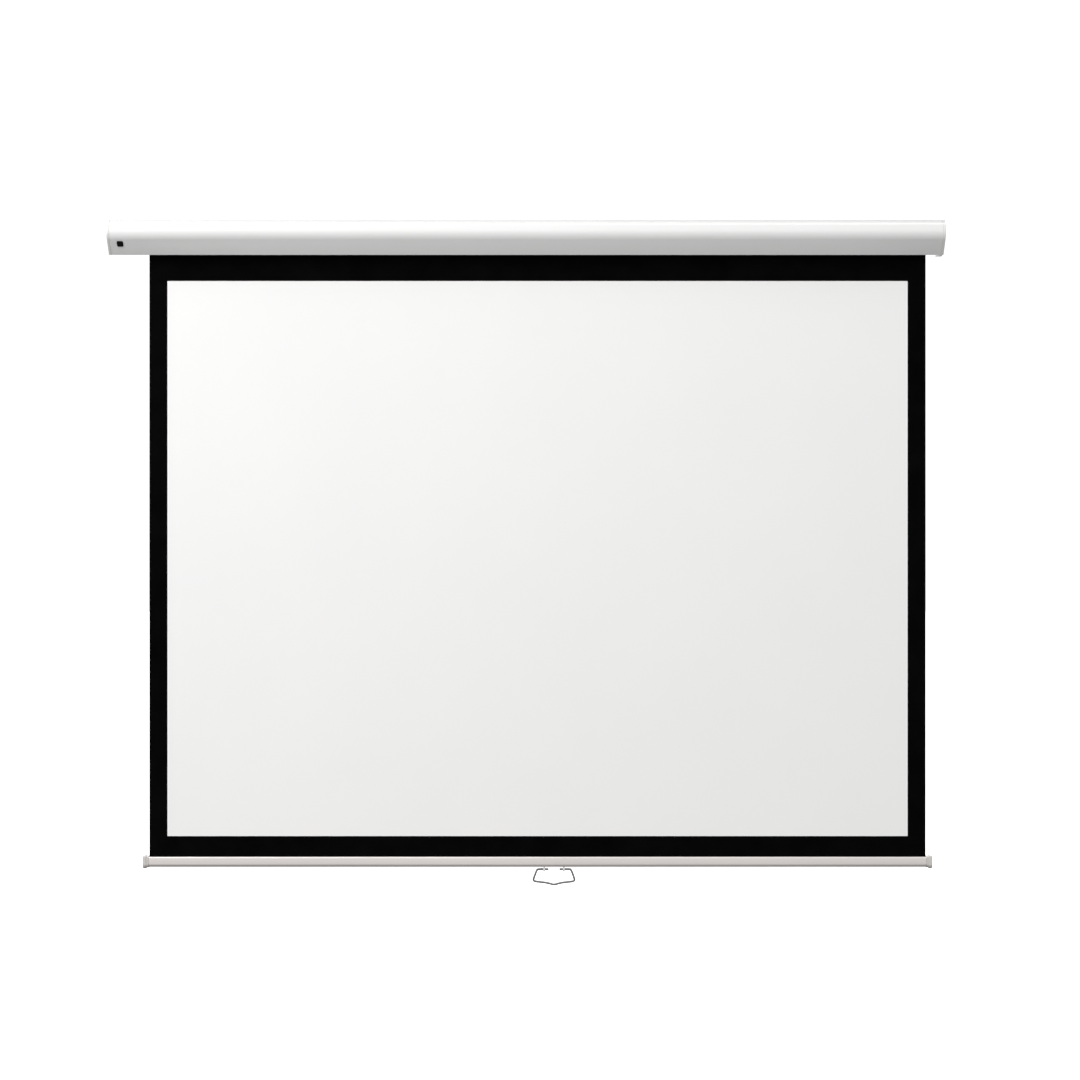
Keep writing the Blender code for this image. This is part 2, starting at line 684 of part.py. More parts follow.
def make_spring_side(roller):
    """The fixed spindle, its ratchet hub and the parts that the spring joins."""
    tang_end = -CAP_INNER - PLATE_THICKNESS - TANG_REACH
    shoulder = tang_end + TANG_LENGTH
    collar_start = -FLANGE_FACE + PLUG_LENGTH + PLUG_FLANGE
    collar_end = collar_start + COLLAR_LENGTH
    spring_start = collar_end + GAP + SPRING_WIRE
    anchor_start = spring_start + SPRING_LENGTH + SPRING_WIRE + GAP
    spindle_end = anchor_start + ANCHOR_LENGTH + SPINDLE_PAST_ANCHOR
    print("spindle's end:", round(spindle_end, 5))
    spindle = rod("spring_spindle", SPINDLE_RADIUS, (shoulder, ROLLER_Y, ROLLER_HEIGHT),
                  (spindle_end, ROLLER_Y, ROLLER_HEIGHT))
    tang = box("spindle_tang",
               (tang_end, ROLLER_Y - TANG_THICKNESS / 2, ROLLER_HEIGHT - TANG_WIDTH / 2),
               (shoulder + TANG_LENGTH, ROLLER_Y + TANG_THICKNESS / 2, ROLLER_HEIGHT + TANG_WIDTH / 2))
    boolean(spindle, tang, 'UNION')
    place(spindle, STEEL)
    bore = SPINDLE_RADIUS + GAP
    hub = ring("ratchet_hub", bore, HUB_RADIUS, -HUB_FACE - HUB_THICKNESS, -HUB_FACE)
    notch = [
        (-NOTCH_STEEP_SIDE, HUB_RADIUS - NOTCH_DEPTH),
        (-NOTCH_STEEP_SIDE + NOTCH_RUN, HUB_RADIUS - NOTCH_DEPTH + NOTCH_RISE),
        (-NOTCH_STEEP_SIDE + NOTCH_RUN, HUB_RADIUS + NOTCH_CLEAR),
        (-NOTCH_STEEP_SIDE, HUB_RADIUS + NOTCH_CLEAR),
    ]
    for index in range(HUB_NOTCHES):
        angle = 2 * math.pi * index / HUB_NOTCHES
        turned_notch = [(ROLLER_Y + y * math.cos(angle) - z * math.sin(angle),
                         ROLLER_HEIGHT + y * math.sin(angle) + z * math.cos(angle)) for y, z in notch]
        cutter = section("hub_notch", turned_notch, -HUB_FACE - HUB_THICKNESS - GAP, -HUB_FACE + GAP)
        boolean(hub, cutter, 'DIFFERENCE')
    place(hub, STEEL)
    place(ring("spring_collar", bore, COLLAR_RADIUS, collar_start, collar_end), GREY_NYLON)
    points = []
    for step in range(SPRING_TURNS * SPRING_STEPS + 1):
        share = step / (SPRING_TURNS * SPRING_STEPS)
        angle = 2 * math.pi * step / SPRING_STEPS
        points.append((spring_start + share * SPRING_LENGTH,
                       ROLLER_Y + SPRING_RADIUS * math.cos(angle),
                       ROLLER_HEIGHT + SPRING_RADIUS * math.sin(angle)))
    spring = wire("torsion_spring", points, SPRING_WIRE, resolution=1)
    place(spring, SPRING_STEEL, roller)
    clear = SPRING_LENGTH / SPRING_TURNS - 2 * SPRING_WIRE
    print("least gap between the spring's turns:", round(clear, 5))
    anchor_bore = SPINDLE_RADIUS + RUNNING_GAP
    anchor = ring("spring_anchor_plug", anchor_bore, TUBE_RADIUS - TUBE_WALL - GAP, anchor_start,
                  anchor_start + ANCHOR_LENGTH)
    place(anchor, GREY_NYLON, roller)


def make_roller(roller):
    inner = TUBE_RADIUS - TUBE_WALL
    place(ring("roller_tube", inner, TUBE_RADIUS, -TUBE_END, TUBE_END), SATIN_ALUMINIUM, roller)
    wraps = ring("fabric_wraps", TUBE_RADIUS + GAP, WRAP_RADIUS, FABRIC_OFFSET - FABRIC_WIDTH / 2,
                 FABRIC_OFFSET + FABRIC_WIDTH / 2)
    place(wraps, BLACK_CLOTH, roller)
    spigot = inner - GAP
    flange_back = TUBE_END + GAP
    bush_outer = SPINDLE_RADIUS + RUNNING_GAP + BUSH_WALL
    left_bore = bush_outer + GAP
    left_profile = [
        (spigot, -FLANGE_FACE + PLUG_LENGTH),
        (spigot, -flange_back),
        (PLUG_FLANGE_RADIUS, -flange_back),
        (PLUG_FLANGE_RADIUS, -FLANGE_FACE),
        (left_bore, -FLANGE_FACE),
        (left_bore, -FLANGE_FACE + PLUG_LENGTH),
    ]
    left_plug = turned("left_roller_plug", left_profile, ROLLER_Y, ROLLER_HEIGHT, closed=True)
    place(left_plug, GREY_NYLON, roller)
    bush = ring("spindle_bush", SPINDLE_RADIUS + RUNNING_GAP, bush_outer, -FLANGE_FACE,
                -FLANGE_FACE + PLUG_LENGTH, sides=SMALL_SIDES)
    place(bush, BRASS, roller)
    right_bore = IDLE_PIN_RADIUS + GAP
    right_profile = [
        (PLUG_FLANGE_RADIUS, FLANGE_FACE),
        (PLUG_FLANGE_RADIUS, flange_back),
        (spigot, flange_back),
        (spigot, FLANGE_FACE - PLUG_LENGTH),
        (right_bore, FLANGE_FACE - PLUG_LENGTH),
        (right_bore, FLANGE_FACE),
    ]
    right_plug = turned("right_roller_plug", right_profile, ROLLER_Y, ROLLER_HEIGHT, closed=True)
    place(right_plug, GREY_NYLON, roller)
    pin_end = POCKET_FLOOR + BEARING_REACH - GAP
    pin = rod("idle_pin", IDLE_PIN_RADIUS, (FLANGE_FACE - PLUG_LENGTH, ROLLER_Y, ROLLER_HEIGHT),
              (pin_end, ROLLER_Y, ROLLER_HEIGHT))
    place(pin, STEEL, roller)
    bearing_bore = IDLE_PIN_RADIUS + RUNNING_GAP
    bearing_outer = bearing_bore + BEARING_WALL
    flange_face = CAP_INNER - GAP
    profile = [
        (bearing_outer, POCKET_FLOOR + BEARING_REACH - GAP),
        (bearing_outer, flange_face),
        (BEARING_FLANGE_RADIUS, flange_face),
        (BEARING_FLANGE_RADIUS, flange_face - BEARING_FLANGE),
        (bearing_bore, flange_face - BEARING_FLANGE),
        (bearing_bore, POCKET_FLOOR + BEARING_REACH - GAP),
    ]
    bearing = turned("bearing_bush", profile, ROLLER_Y, ROLLER_HEIGHT, closed=True, sides=SMALL_SIDES)
    place(bearing, BRASS)


def make_pawls(roller):
    """Two pawls on pins at opposite sides of the roller's left flange."""
    pawl_high = -FLANGE_FACE - HUB_TO_FLANGE - (HUB_THICKNESS - PAWL_THICKNESS) / 2
    pawl_low = pawl_high - PAWL_THICKNESS
    for sign, label in ((1, "a"), (-1, "b")):
        y = ROLLER_Y + sign * PAWL_PIVOT[0]
        z = ROLLER_HEIGHT + sign * PAWL_PIVOT[1]
        hinge = pivot("pawl_" + label + "_axis", (pawl_low, y, z), roller)
        eye = arc((0, 0), (PAWL_EYE, PAWL_EYE), 90, -90, 8)
        tip = [(-PAWL_REACH, -PAWL_TIP_BASE), (-PAWL_REACH, PAWL_TIP_TOP)]
        outline = [(y + sign * u, z + sign * v) for u, v in eye + tip]
        pawl = section("pawl_" + label, outline, pawl_low, pawl_high)
        hole = rod("pawl_eye_hole", PAWL_PIN_RADIUS + RUNNING_GAP, (pawl_low - GAP, y, z),
                   (pawl_high + GAP, y, z), 12)
        boolean(pawl, hole, 'DIFFERENCE')
        place(pawl, STEEL, hinge)
        pin = rod("pawl_pin_" + label, PAWL_PIN_RADIUS, (pawl_low - PAWL_PIN_OVERRUN, y, z),
                  (-FLANGE_FACE - GAP, y, z), 12)
        place(pin, STEEL, roller)


def make_fabric():
    """The black cloth that hangs from the roller, and the white surface on its front."""
    left = FABRIC_OFFSET - FABRIC_WIDTH / 2
    right = FABRIC_OFFSET + FABRIC_WIDTH / 2
    front = FABRIC_Y - FABRIC_THICKNESS / 2
    cloth = box("black_backing", (left, front, HEM_Z + HEM_RADIUS + GAP),
                (right, front + FABRIC_THICKNESS, ROLLER_HEIGHT))
    place(cloth, BLACK_CLOTH)
    surface_back = front - GAP
    half = WHITE_WIDTH / 2
    base = -WHITE_TOP - WHITE_HEIGHT
    white = box("viewing_surface", (FABRIC_OFFSET - half, surface_back - WHITE_THICKNESS, base),
                (FABRIC_OFFSET + half, surface_back, -WHITE_TOP))
    place(white, WHITE_CLOTH)


def bar_side(sign, grow):
    """Half of the bottom bar's outline, from its top edge round the side and down to its keel."""
    half_depth = BAR_DEPTH / 2 + grow
    top = BAR_Z + BAR_HEIGHT / 2 + grow
    base = BAR_Z - BAR_HEIGHT / 2
    corner = BAR_TOP_CORNER
    upper = arc((-(half_depth - corner), top - corner), (corner, corner), 90, 180, 4)
    keel_centre = (0, base + BAR_KEEL)
    lower = arc(keel_centre, (half_depth, BAR_KEEL + grow), 180, 270, 9)
    points = [(y, z) for y, z in upper + lower]
    return [(FABRIC_Y - sign * y, z) for y, z in points]


def keel_height(from_middle, inset):
    """How high the bar's rounded keel stands at a distance from its middle, inside a wall of the inset."""
    across = from_middle / (BAR_DEPTH / 2 - inset)
    return BAR_Z - BAR_HEIGHT / 2 + BAR_KEEL - (BAR_KEEL - inset) * math.sqrt(1 - across ** 2)


def bar_outline(grow):
    """The bar's whole closed outline, grown outwards."""
    front = bar_side(-1, grow)
    rear = bar_side(1, grow)
    return front + rear[-2::-1]


def make_bottom_bar(bar):
    x_low = FABRIC_OFFSET - BAR_END
    x_high = FABRIC_OFFSET + BAR_END
    solid = section("bottom_bar", bar_outline(0), x_low, x_high)
    web_top = BAR_Z + BAR_WEB_HEIGHT + BAR_WALL / 2
    web_base = BAR_Z + BAR_WEB_HEIGHT - BAR_WALL / 2
    cut_low = x_low - CUT_MARGIN
    cut_high = x_high + CUT_MARGIN
    inner = bar_outline(-BAR_WALL)
    upper = clip_above(inner, web_top)
    lower = clip_above([(y, -z) for y, z in inner], -web_base)
    top = BAR_Z + BAR_HEIGHT / 2
    base = BAR_Z - BAR_HEIGHT / 2
    half_top = BAR_TOP_SLOT / 2
    half_keel = BAR_KEEL_SLOT / 2
    cutters = (
        section("bar_hem_channel", upper, cut_low, cut_high),
        section("bar_handle_channel", [(y, -z) for y, z in lower], cut_low, cut_high),
        box("bar_top_slot", (cut_low, FABRIC_Y - half_top, top - 2 * BAR_WALL),
            (cut_high, FABRIC_Y + half_top, top + CUT_MARGIN)),
        box("bar_keel_slot", (cut_low, FABRIC_Y - half_keel, base - CUT_MARGIN),
            (cut_high, FABRIC_Y + half_keel, base + 2 * BAR_WALL)),
    )
    for cutter in cutters:
        boolean(solid, cutter, 'DIFFERENCE')
    place(solid, SATIN_ALUMINIUM, bar)


def clip_above(points, level):
    """The part of a closed convex outline that lies above a height."""
    kept = []
    for (y0, z0), (y1, z1) in zip(points, points[1:] + points[:1]):
        if z0 >= level:
            kept.append((y0, z0))
        if (z0 - level) * (z1 - level) < 0:
            share = (level - z0) / (z1 - z0)
            kept.append((y0 + (y1 - y0) * share, level))
    return kept


def make_hem(bar):
    """The fabric's hem loop and the rod inside it, in the bar's upper channel."""
    left = FABRIC_OFFSET - BAR_END + HEM_END_SPACE
    right = FABRIC_OFFSET + BAR_END - HEM_END_SPACE
    hem = ring("fabric_hem", HEM_RADIUS - HEM_WALL, HEM_RADIUS, left, right, FABRIC_Y, HEM_Z, SMALL_SIDES)
    place(hem, BLACK_CLOTH, bar)
    place(rod("hem_spline", SPLINE_RADIUS, (left, FABRIC_Y, HEM_Z), (right, FABRIC_Y, HEM_Z), 12),
          WHITE_PLASTIC, bar)


def make_bar_caps(bar):
    for side, label in ((-1, "left"), (1, "right")):
        end = FABRIC_OFFSET + side * (BAR_END + GAP)
        neck = end + side * BAR_CAP_NECK
        head = neck + side * BAR_CAP_HEAD
        cap = section(label + "_bar_cap", bar_outline(BAR_CAP_HEAD_GROW), min(neck, head), max(neck, head))
        bevel = cap.modifiers.new("round", 'BEVEL')
        bevel.width = BAR_CAP_EDGE
        bevel.segments = 2
        bevel.limit_method = 'ANGLE'
        bevel.angle_limit = math.radians(60)
        overlap = neck + side * BAR_CAP_HEAD / 2
        boolean(cap, section("bar_cap_neck", bar_outline(BAR_CAP_NECK_GROW), min(end, overlap),
                             max(end, overlap)), 'UNION')
        web_base = BAR_Z + BAR_WEB_HEIGHT - BAR_WALL / 2 - GAP
        spigot_end = end - side * BAR_CAP_SPIGOT
        half = BAR_DEPTH / 2 - BAR_WALL - 2 * GAP
        spigot = box("bar_cap_spigot",
                     (min(spigot_end, overlap), FABRIC_Y - half, web_base - BAR_CAP_SPIGOT_HEIGHT),
                     (max(spigot_end, overlap), FABRIC_Y + half, web_base))
        boolean(cap, spigot, 'UNION')
        place(cap, GREY_NYLON, bar)


def make_handle(bar):
    """Two clips that hang in the bar's lower channel, and the wire bail that turns in them."""
    slider = pivot("handle_slider", (HANDLE_X, FABRIC_Y, HANDLE_Z), bar)
    channel_floor = keel_height(CLIP_FOOT_WIDTH / 2, BAR_WALL)
    eye = HANDLE_WIRE + RUNNING_GAP
    ring_radius = eye + CLIP_WALL
    for side, label in ((-1, "left"), (1, "right")):
        x = HANDLE_X + side * CLIP_SPACING / 2
        low, high = x - CLIP_LENGTH / 2, x + CLIP_LENGTH / 2
        clip = rod(label + "_handle_clip", ring_radius, (low, FABRIC_Y, HANDLE_Z),
                   (high, FABRIC_Y, HANDLE_Z))
        foot_base = channel_floor + GAP
        foot_top = foot_base + CLIP_FOOT_HEIGHT
        neck = box("clip_neck", (low, FABRIC_Y - CLIP_NECK / 2, HANDLE_Z),
                   (high, FABRIC_Y + CLIP_NECK / 2, (foot_base + foot_top) / 2))
        foot = box("clip_foot", (low, FABRIC_Y - CLIP_FOOT_WIDTH / 2, foot_base),
                   (high, FABRIC_Y + CLIP_FOOT_WIDTH / 2, foot_top))
        boolean(clip, neck, 'UNION')
        boolean(clip, foot, 'UNION')
        hole = rod("clip_eye", eye, (low - GAP, FABRIC_Y, HANDLE_Z), (high + GAP, FABRIC_Y, HANDLE_Z))
        boolean(clip, hole, 'DIFFERENCE')
        place(clip, WHITE_PLASTIC, slider)
    hinge = pivot("handle_axis", (HANDLE_X, FABRIC_Y, HANDLE_Z), slider)
    points = [(HANDLE_X + x, FABRIC_Y, HANDLE_Z - drop) for x, drop in bail_path()]
    place(wire("handle_bail", points, HANDLE_WIRE), GREY_WIRE, hinge)


def smooth(points, steps):
    """A Catmull-Rom line through the points."""
    padded = [points[0]] + points + [points[-1]]
    line = []
    for p0, p1, p2, p3 in zip(padded, padded[1:], padded[2:], padded[3:]):
        for step in range(steps):
            t = step / steps
            line.append(tuple(
                0.5 * (2 * b + (c - a) * t + (2 * a - 5 * b + 4 * c - d) * t * t
                       + (3 * b - a - 3 * c + d) * t ** 3)
                for a, b, c, d in zip(p0, p1, p2, p3)))
    line.append(points[-1])
    return line


def bail_path():
    """The bail's centre line as (x, drop below the pivot), from the left end to the right end."""
    half = [
        (HANDLE_WIRE_END, 0),
        (HANDLE_SHOULDER, 0),
        (HANDLE_SHOULDER + HANDLE_BEND, HANDLE_BEND / 2),
        (HANDLE_HALF_WIDTH - HANDLE_BEND, HANDLE_SIDE_DROP * 0.4),
        (HANDLE_HALF_WIDTH - HANDLE_FLARE, HANDLE_SIDE_DROP * 0.85),
        (HANDLE_HALF_WIDTH, HANDLE_SIDE_DROP),
        (HANDLE_HALF_WIDTH - HANDLE_BEND, HANDLE_BASE_DROP - HANDLE_BEND / 2),
        (HANDLE_NOSE_HALF * 2, HANDLE_BASE_DROP + HANDLE_FLARE),
        (HANDLE_NOSE_HALF, HANDLE_NOSE_DROP - HANDLE_BEND / 2),
        (0, HANDLE_NOSE_DROP),
    ]
    left = [(-x, drop) for x, drop in half]
    right = [(x, drop) for x, drop in reversed(half[:-1])]
    return smooth(left + right, HANDLE_STEPS)


def main():
    roller = pivot("roller_axis", (0, ROLLER_Y, ROLLER_HEIGHT))
    bar = pivot("bottom_bar_slider", (FABRIC_OFFSET, FABRIC_Y, BAR_Z))
    make_casing()
    make_blanking_plug()
    make_ends()
    make_cap_screws()
    make_wall_brackets()
    make_spring_side(roller)
    make_roller(roller)
    make_pawls(roller)
    make_fabric()
    make_bottom_bar(bar)
    make_hem(bar)
    make_bar_caps(bar)
    make_handle(bar)
    travel = BAR_TOP - BAR_CAP_HEAD_GROW + CASING_BASE - PARK_GAP
    print("the bar's travel in metres:", round(travel, 4))


main()
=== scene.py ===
# %% [markdown]
# A pull-down projector screen hangs from a wall. Its long white casing hides a spring roller,
# the cloth drops out of a slot under it, and a metal bar keeps the cloth straight. The CAD
# model gives every size, and this lesson dresses it: finer shapes, real finishes, soft light.
# Everything is in metres: X runs along the screen, Y into the wall and Z up.

# %% Load the CAD frame
import json
import math

import bmesh
import bpy
from mathutils import Matrix, Vector

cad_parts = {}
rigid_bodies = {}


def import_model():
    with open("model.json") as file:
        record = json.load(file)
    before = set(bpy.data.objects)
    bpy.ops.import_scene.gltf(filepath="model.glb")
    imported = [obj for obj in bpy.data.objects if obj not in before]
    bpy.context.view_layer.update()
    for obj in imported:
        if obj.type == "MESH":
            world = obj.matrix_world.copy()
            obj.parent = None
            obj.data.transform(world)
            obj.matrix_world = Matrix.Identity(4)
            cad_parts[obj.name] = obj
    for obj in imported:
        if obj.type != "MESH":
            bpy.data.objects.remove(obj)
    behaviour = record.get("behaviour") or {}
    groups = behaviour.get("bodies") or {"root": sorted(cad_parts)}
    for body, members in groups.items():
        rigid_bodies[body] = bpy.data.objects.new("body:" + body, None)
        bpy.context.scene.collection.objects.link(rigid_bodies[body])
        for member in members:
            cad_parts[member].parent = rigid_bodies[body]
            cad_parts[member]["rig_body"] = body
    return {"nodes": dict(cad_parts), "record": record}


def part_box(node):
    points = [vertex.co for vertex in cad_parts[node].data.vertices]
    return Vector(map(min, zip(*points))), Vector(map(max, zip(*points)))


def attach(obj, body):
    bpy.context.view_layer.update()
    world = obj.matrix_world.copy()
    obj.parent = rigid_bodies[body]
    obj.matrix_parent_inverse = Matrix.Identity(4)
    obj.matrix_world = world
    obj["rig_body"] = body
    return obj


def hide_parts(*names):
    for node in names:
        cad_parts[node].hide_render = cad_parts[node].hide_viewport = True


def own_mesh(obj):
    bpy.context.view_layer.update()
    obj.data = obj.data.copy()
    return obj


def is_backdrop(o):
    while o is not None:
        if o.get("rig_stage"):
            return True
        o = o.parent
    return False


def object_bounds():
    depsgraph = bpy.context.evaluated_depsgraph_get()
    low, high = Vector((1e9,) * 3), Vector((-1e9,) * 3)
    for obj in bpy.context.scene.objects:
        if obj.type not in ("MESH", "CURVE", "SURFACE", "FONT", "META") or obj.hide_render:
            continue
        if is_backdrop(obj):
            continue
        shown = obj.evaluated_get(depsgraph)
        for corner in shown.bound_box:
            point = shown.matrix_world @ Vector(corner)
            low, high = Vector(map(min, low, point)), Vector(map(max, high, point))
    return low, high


for spare in list(bpy.data.objects):
    bpy.data.objects.remove(spare)
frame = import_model()
cad_low, cad_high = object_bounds()

# %% [markdown]
# The photograph looks straight at the screen from five metres away. A long lens keeps the
# sides of the picture parallel, and the camera stands level with the middle of the frame, so
# it sees the casing a little from below.

# %% Camera
CAMERA_PLACE = (0.0316, -5.023, -0.6953)
LENS = 72.26
SENSOR = 36.0
camera_data = bpy.data.cameras.new("camera")
camera_data.sensor_width = SENSOR
camera_data.lens = LENS
camera = bpy.data.objects.new("camera", camera_data)
camera.location = CAMERA_PLACE
camera.rotation_euler = (math.pi / 2, 0, 0)
bpy.context.scene.collection.objects.link(camera)
bpy.context.scene.camera = camera
bpy.context.scene.view_settings.view_transform = 'Standard'
print("camera sees", round(SENSOR / LENS * -CAMERA_PLACE[1], 3), "m across")

# %% [markdown]
# A studio shot on white has a background that is brighter than anything else. The world shows
# pure white to the camera, but lights the screen with a softer sky: bright above, dim below,
# so that the casing's sloping underside falls into grey as it does in the photograph.

# %% World light
SKY_ABOVE = 1.114
SKY_BELOW = 0.199
SKY_BLEND = 0.6
WHITE_STRENGTH = 1.1
world = bpy.data.worlds.new("studio_sky")
bpy.context.scene.world = world
world.use_nodes = True
tree = world.node_tree
tree.nodes.clear()
direction = tree.nodes.new("ShaderNodeTexCoord")
split = tree.nodes.new("ShaderNodeSeparateXYZ")
tree.links.new(direction.outputs["Generated"], split.inputs[0])
height = tree.nodes.new("ShaderNodeMapRange")
height.interpolation_type = 'SMOOTHSTEP'
height.inputs["From Min"].default_value = -SKY_BLEND
height.inputs["From Max"].default_value = SKY_BLEND
height.inputs["To Min"].default_value = SKY_BELOW
height.inputs["To Max"].default_value = SKY_ABOVE
tree.links.new(split.outputs["Z"], height.inputs["Value"])
sky = tree.nodes.new("ShaderNodeBackground")
sky.inputs["Color"].default_value = (1.0, 0.995, 0.985, 1)
tree.links.new(height.outputs["Result"], sky.inputs["Strength"])
seen = tree.nodes.new("ShaderNodeBackground")
seen.inputs["Color"].default_value = (1, 1, 1, 1)
seen.inputs["Strength"].default_value = WHITE_STRENGTH
rays = tree.nodes.new("ShaderNodeLightPath")
mix = tree.nodes.new("ShaderNodeMixShader")
tree.links.new(rays.outputs["Is Camera Ray"], mix.inputs["Fac"])
tree.links.new(sky.outputs[0], mix.inputs[1])
tree.links.new(seen.outputs[0], mix.inputs[2])
out = tree.nodes.new("ShaderNodeOutputWorld")
tree.links.new(mix.outputs[0], out.inputs["Surface"])
print("sky strength above and below:", SKY_ABOVE, SKY_BELOW)

# %% [markdown]
# The pale floor lies below the hanging bar. It glows a little, so it is white up to the
# horizon, and it is kept from lighting the screen from below.

# %% Floor
FLOOR_HEIGHT = -1.85
FLOOR_REACH = 30.0
FLOOR_GLOW = 0.75
floor_mesh = bpy.data.meshes.new("studio_floor")
corners = [(-FLOOR_REACH, -FLOOR_REACH), (FLOOR_REACH, -FLOOR_REACH),
           (FLOOR_REACH, FLOOR_REACH), (-FLOOR_REACH, FLOOR_REACH)]
floor_mesh.from_pydata([(x, y, FLOOR_HEIGHT) for x, y in corners], [], [(0, 1, 2, 3)])
floor = bpy.data.objects.new("studio_floor", floor_mesh)
bpy.context.scene.collection.objects.link(floor)
paper = bpy.data.materials.new("studio_paper")
paper.use_nodes = True
paper_shader = paper.node_tree.nodes["Principled BSDF"]
paper_shader.inputs["Base Color"].default_value = (0.8, 0.8, 0.8, 1)
paper_shader.inputs["Roughness"].default_value = 1.0
paper_shader.inputs["Specular IOR Level"].default_value = 0.0
paper_shader.inputs["Emission Color"].default_value = (1, 1, 1, 1)
paper_shader.inputs["Emission Strength"].default_value = FLOOR_GLOW
floor_mesh.materials.append(paper)
floor.visible_diffuse = False
floor.visible_glossy = False
floor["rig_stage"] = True
print("floor at", FLOOR_HEIGHT)

# %% [markdown]
# Two large soft lights stand on the left in front, one over the other, so the top left of the
# picture is the brightest and it fades to the right and down. A faint one over the right end
# keeps the casing's front bright there, and one behind lights the back for views from there.


# %% Soft lights
def soft_light(name, place, target, size, power):
    """A round white area light that faces a target."""
    data = bpy.data.lights.new(name, 'AREA')
    data.shape = 'DISK'
    data.size = size
    data.energy = power
    lamp = bpy.data.objects.new(name, data)
    lamp.location = place
    lamp.rotation_euler = (Vector(target) - Vector(place)).to_track_quat('-Z', 'Y').to_euler()
    bpy.context.scene.collection.objects.link(lamp)
    print(name, power, "W")


soft_light("key_light", (-2.3, -3.2, 1.5), (-0.3, 0, -0.5), 2.4, 52)
soft_light("high_light", (-1.8, -2.6, 3.0), (-0.2, 0, -0.5), 2.4, 64)
soft_light("top_light", (1.5, -0.9, 1.5), (0.9, 0, 0), 1.4, 1.1)
soft_light("back_light", (1.5, 3.0, 1.5), (0, 0, -0.4), 2.5, 60)

# %% [markdown]
# Finishes come next. A helper starts a material from its colour, roughness and metal, and
# three more add what real surfaces have: a fine bump, a drift in colour, and a drift in
# roughness. They all read Object coordinates, which are metres on this screen, so one
# pattern runs on from piece to piece at its true size.


# %% Helpers for finishes
def base_finish(name, colour, roughness, metallic=0.0, specular=0.5):
    """A new material that starts from one colour, roughness and metal."""
    finish = bpy.data.materials.new(name)
    finish.use_nodes = True
    shader = finish.node_tree.nodes["Principled BSDF"]
    shader.inputs["Base Color"].default_value = (*colour, 1)
    shader.inputs["Roughness"].default_value = roughness
    shader.inputs["Metallic"].default_value = metallic
    shader.inputs["Specular IOR Level"].default_value = specular
    return finish


def noise(finish, scale, stretch=(1, 1, 1), detail=3.0, roughness=0.55):
    """A noise pattern in metres: scale is how many grains fit in one metre."""
    nodes, links = finish.node_tree.nodes, finish.node_tree.links
    place = nodes.new("ShaderNodeTexCoord")
    mapping = nodes.new("ShaderNodeMapping")
    mapping.inputs["Scale"].default_value = stretch
    links.new(place.outputs["Object"], mapping.inputs["Vector"])
    grain = nodes.new("ShaderNodeTexNoise")
    grain.inputs["Scale"].default_value = scale
    grain.inputs["Detail"].default_value = detail
    grain.inputs["Roughness"].default_value = roughness
    links.new(mapping.outputs["Vector"], grain.inputs["Vector"])
    return grain.outputs["Fac"]


PATTERN_LOW = 0.3
PATTERN_HIGH = 0.7


def drift(finish, value, socket, low, high):
    """Drive a colour or a number of the shader between two values by a pattern."""
    nodes, links = finish.node_tree.nodes, finish.node_tree.links
    shader = nodes["Principled BSDF"]
    if socket == "Base Color":
        ramp = nodes.new("ShaderNodeValToRGB")
        ramp.color_ramp.elements[0].position = PATTERN_LOW
        ramp.color_ramp.elements[1].position = PATTERN_HIGH
        ramp.color_ramp.elements[0].color = (*low, 1)
        ramp.color_ramp.elements[1].color = (*high, 1)
        links.new(value, ramp.inputs["Fac"])
        links.new(ramp.outputs["Color"], shader.inputs[socket])
        return
    spread = nodes.new("ShaderNodeMapRange")
    spread.inputs["From Min"].default_value = PATTERN_LOW
    spread.inputs["From Max"].default_value = PATTERN_HIGH
    spread.inputs["To Min"].default_value = low
    spread.inputs["To Max"].default_value = high
    links.new(value, spread.inputs["Value"])
    links.new(spread.outputs["Result"], shader.inputs[socket])


def paint_shade_above(finish, low, high, share):
    """Painted shade: between two heights in metres the colour falls to a share of itself."""
    nodes, links = finish.node_tree.nodes, finish.node_tree.links
    shader = nodes["Principled BSDF"]
    place = nodes.new("ShaderNodeTexCoord")
    split = nodes.new("ShaderNodeSeparateXYZ")
    links.new(place.outputs["Object"], split.inputs[0])
    above = nodes.new("ShaderNodeMapRange")
    above.inputs["From Min"].default_value = low
    above.inputs["From Max"].default_value = high
    links.new(split.outputs["Z"], above.inputs["Value"])
    painted_shade = nodes.new("ShaderNodeMix")
    painted_shade.data_type = 'RGBA'
    painted_shade.blend_type = 'MULTIPLY'
    painted_shade.inputs["B"].default_value = (share, share, share, 1)
    links.new(above.outputs[0], painted_shade.inputs["Factor"])
    links.new(shader.inputs["Base Color"].links[0].from_socket, painted_shade.inputs["A"])
    links.new(painted_shade.outputs["Result"], shader.inputs["Base Color"])


def bump(finish, value, depth, strength=1.0):
    """Raise the surface by a pattern; depth is in metres. A second bump stacks on the first."""
    nodes, links = finish.node_tree.nodes, finish.node_tree.links
    shader = nodes["Principled BSDF"]
    relief = nodes.new("ShaderNodeBump")
    relief.inputs["Strength"].default_value = strength
    relief.inputs["Distance"].default_value = depth
    links.new(value, relief.inputs["Height"])
    if shader.inputs["Normal"].is_linked:
        links.new(shader.inputs["Normal"].links[0].from_socket, relief.inputs["Normal"])
    links.new(relief.outputs["Normal"], shader.inputs["Normal"])
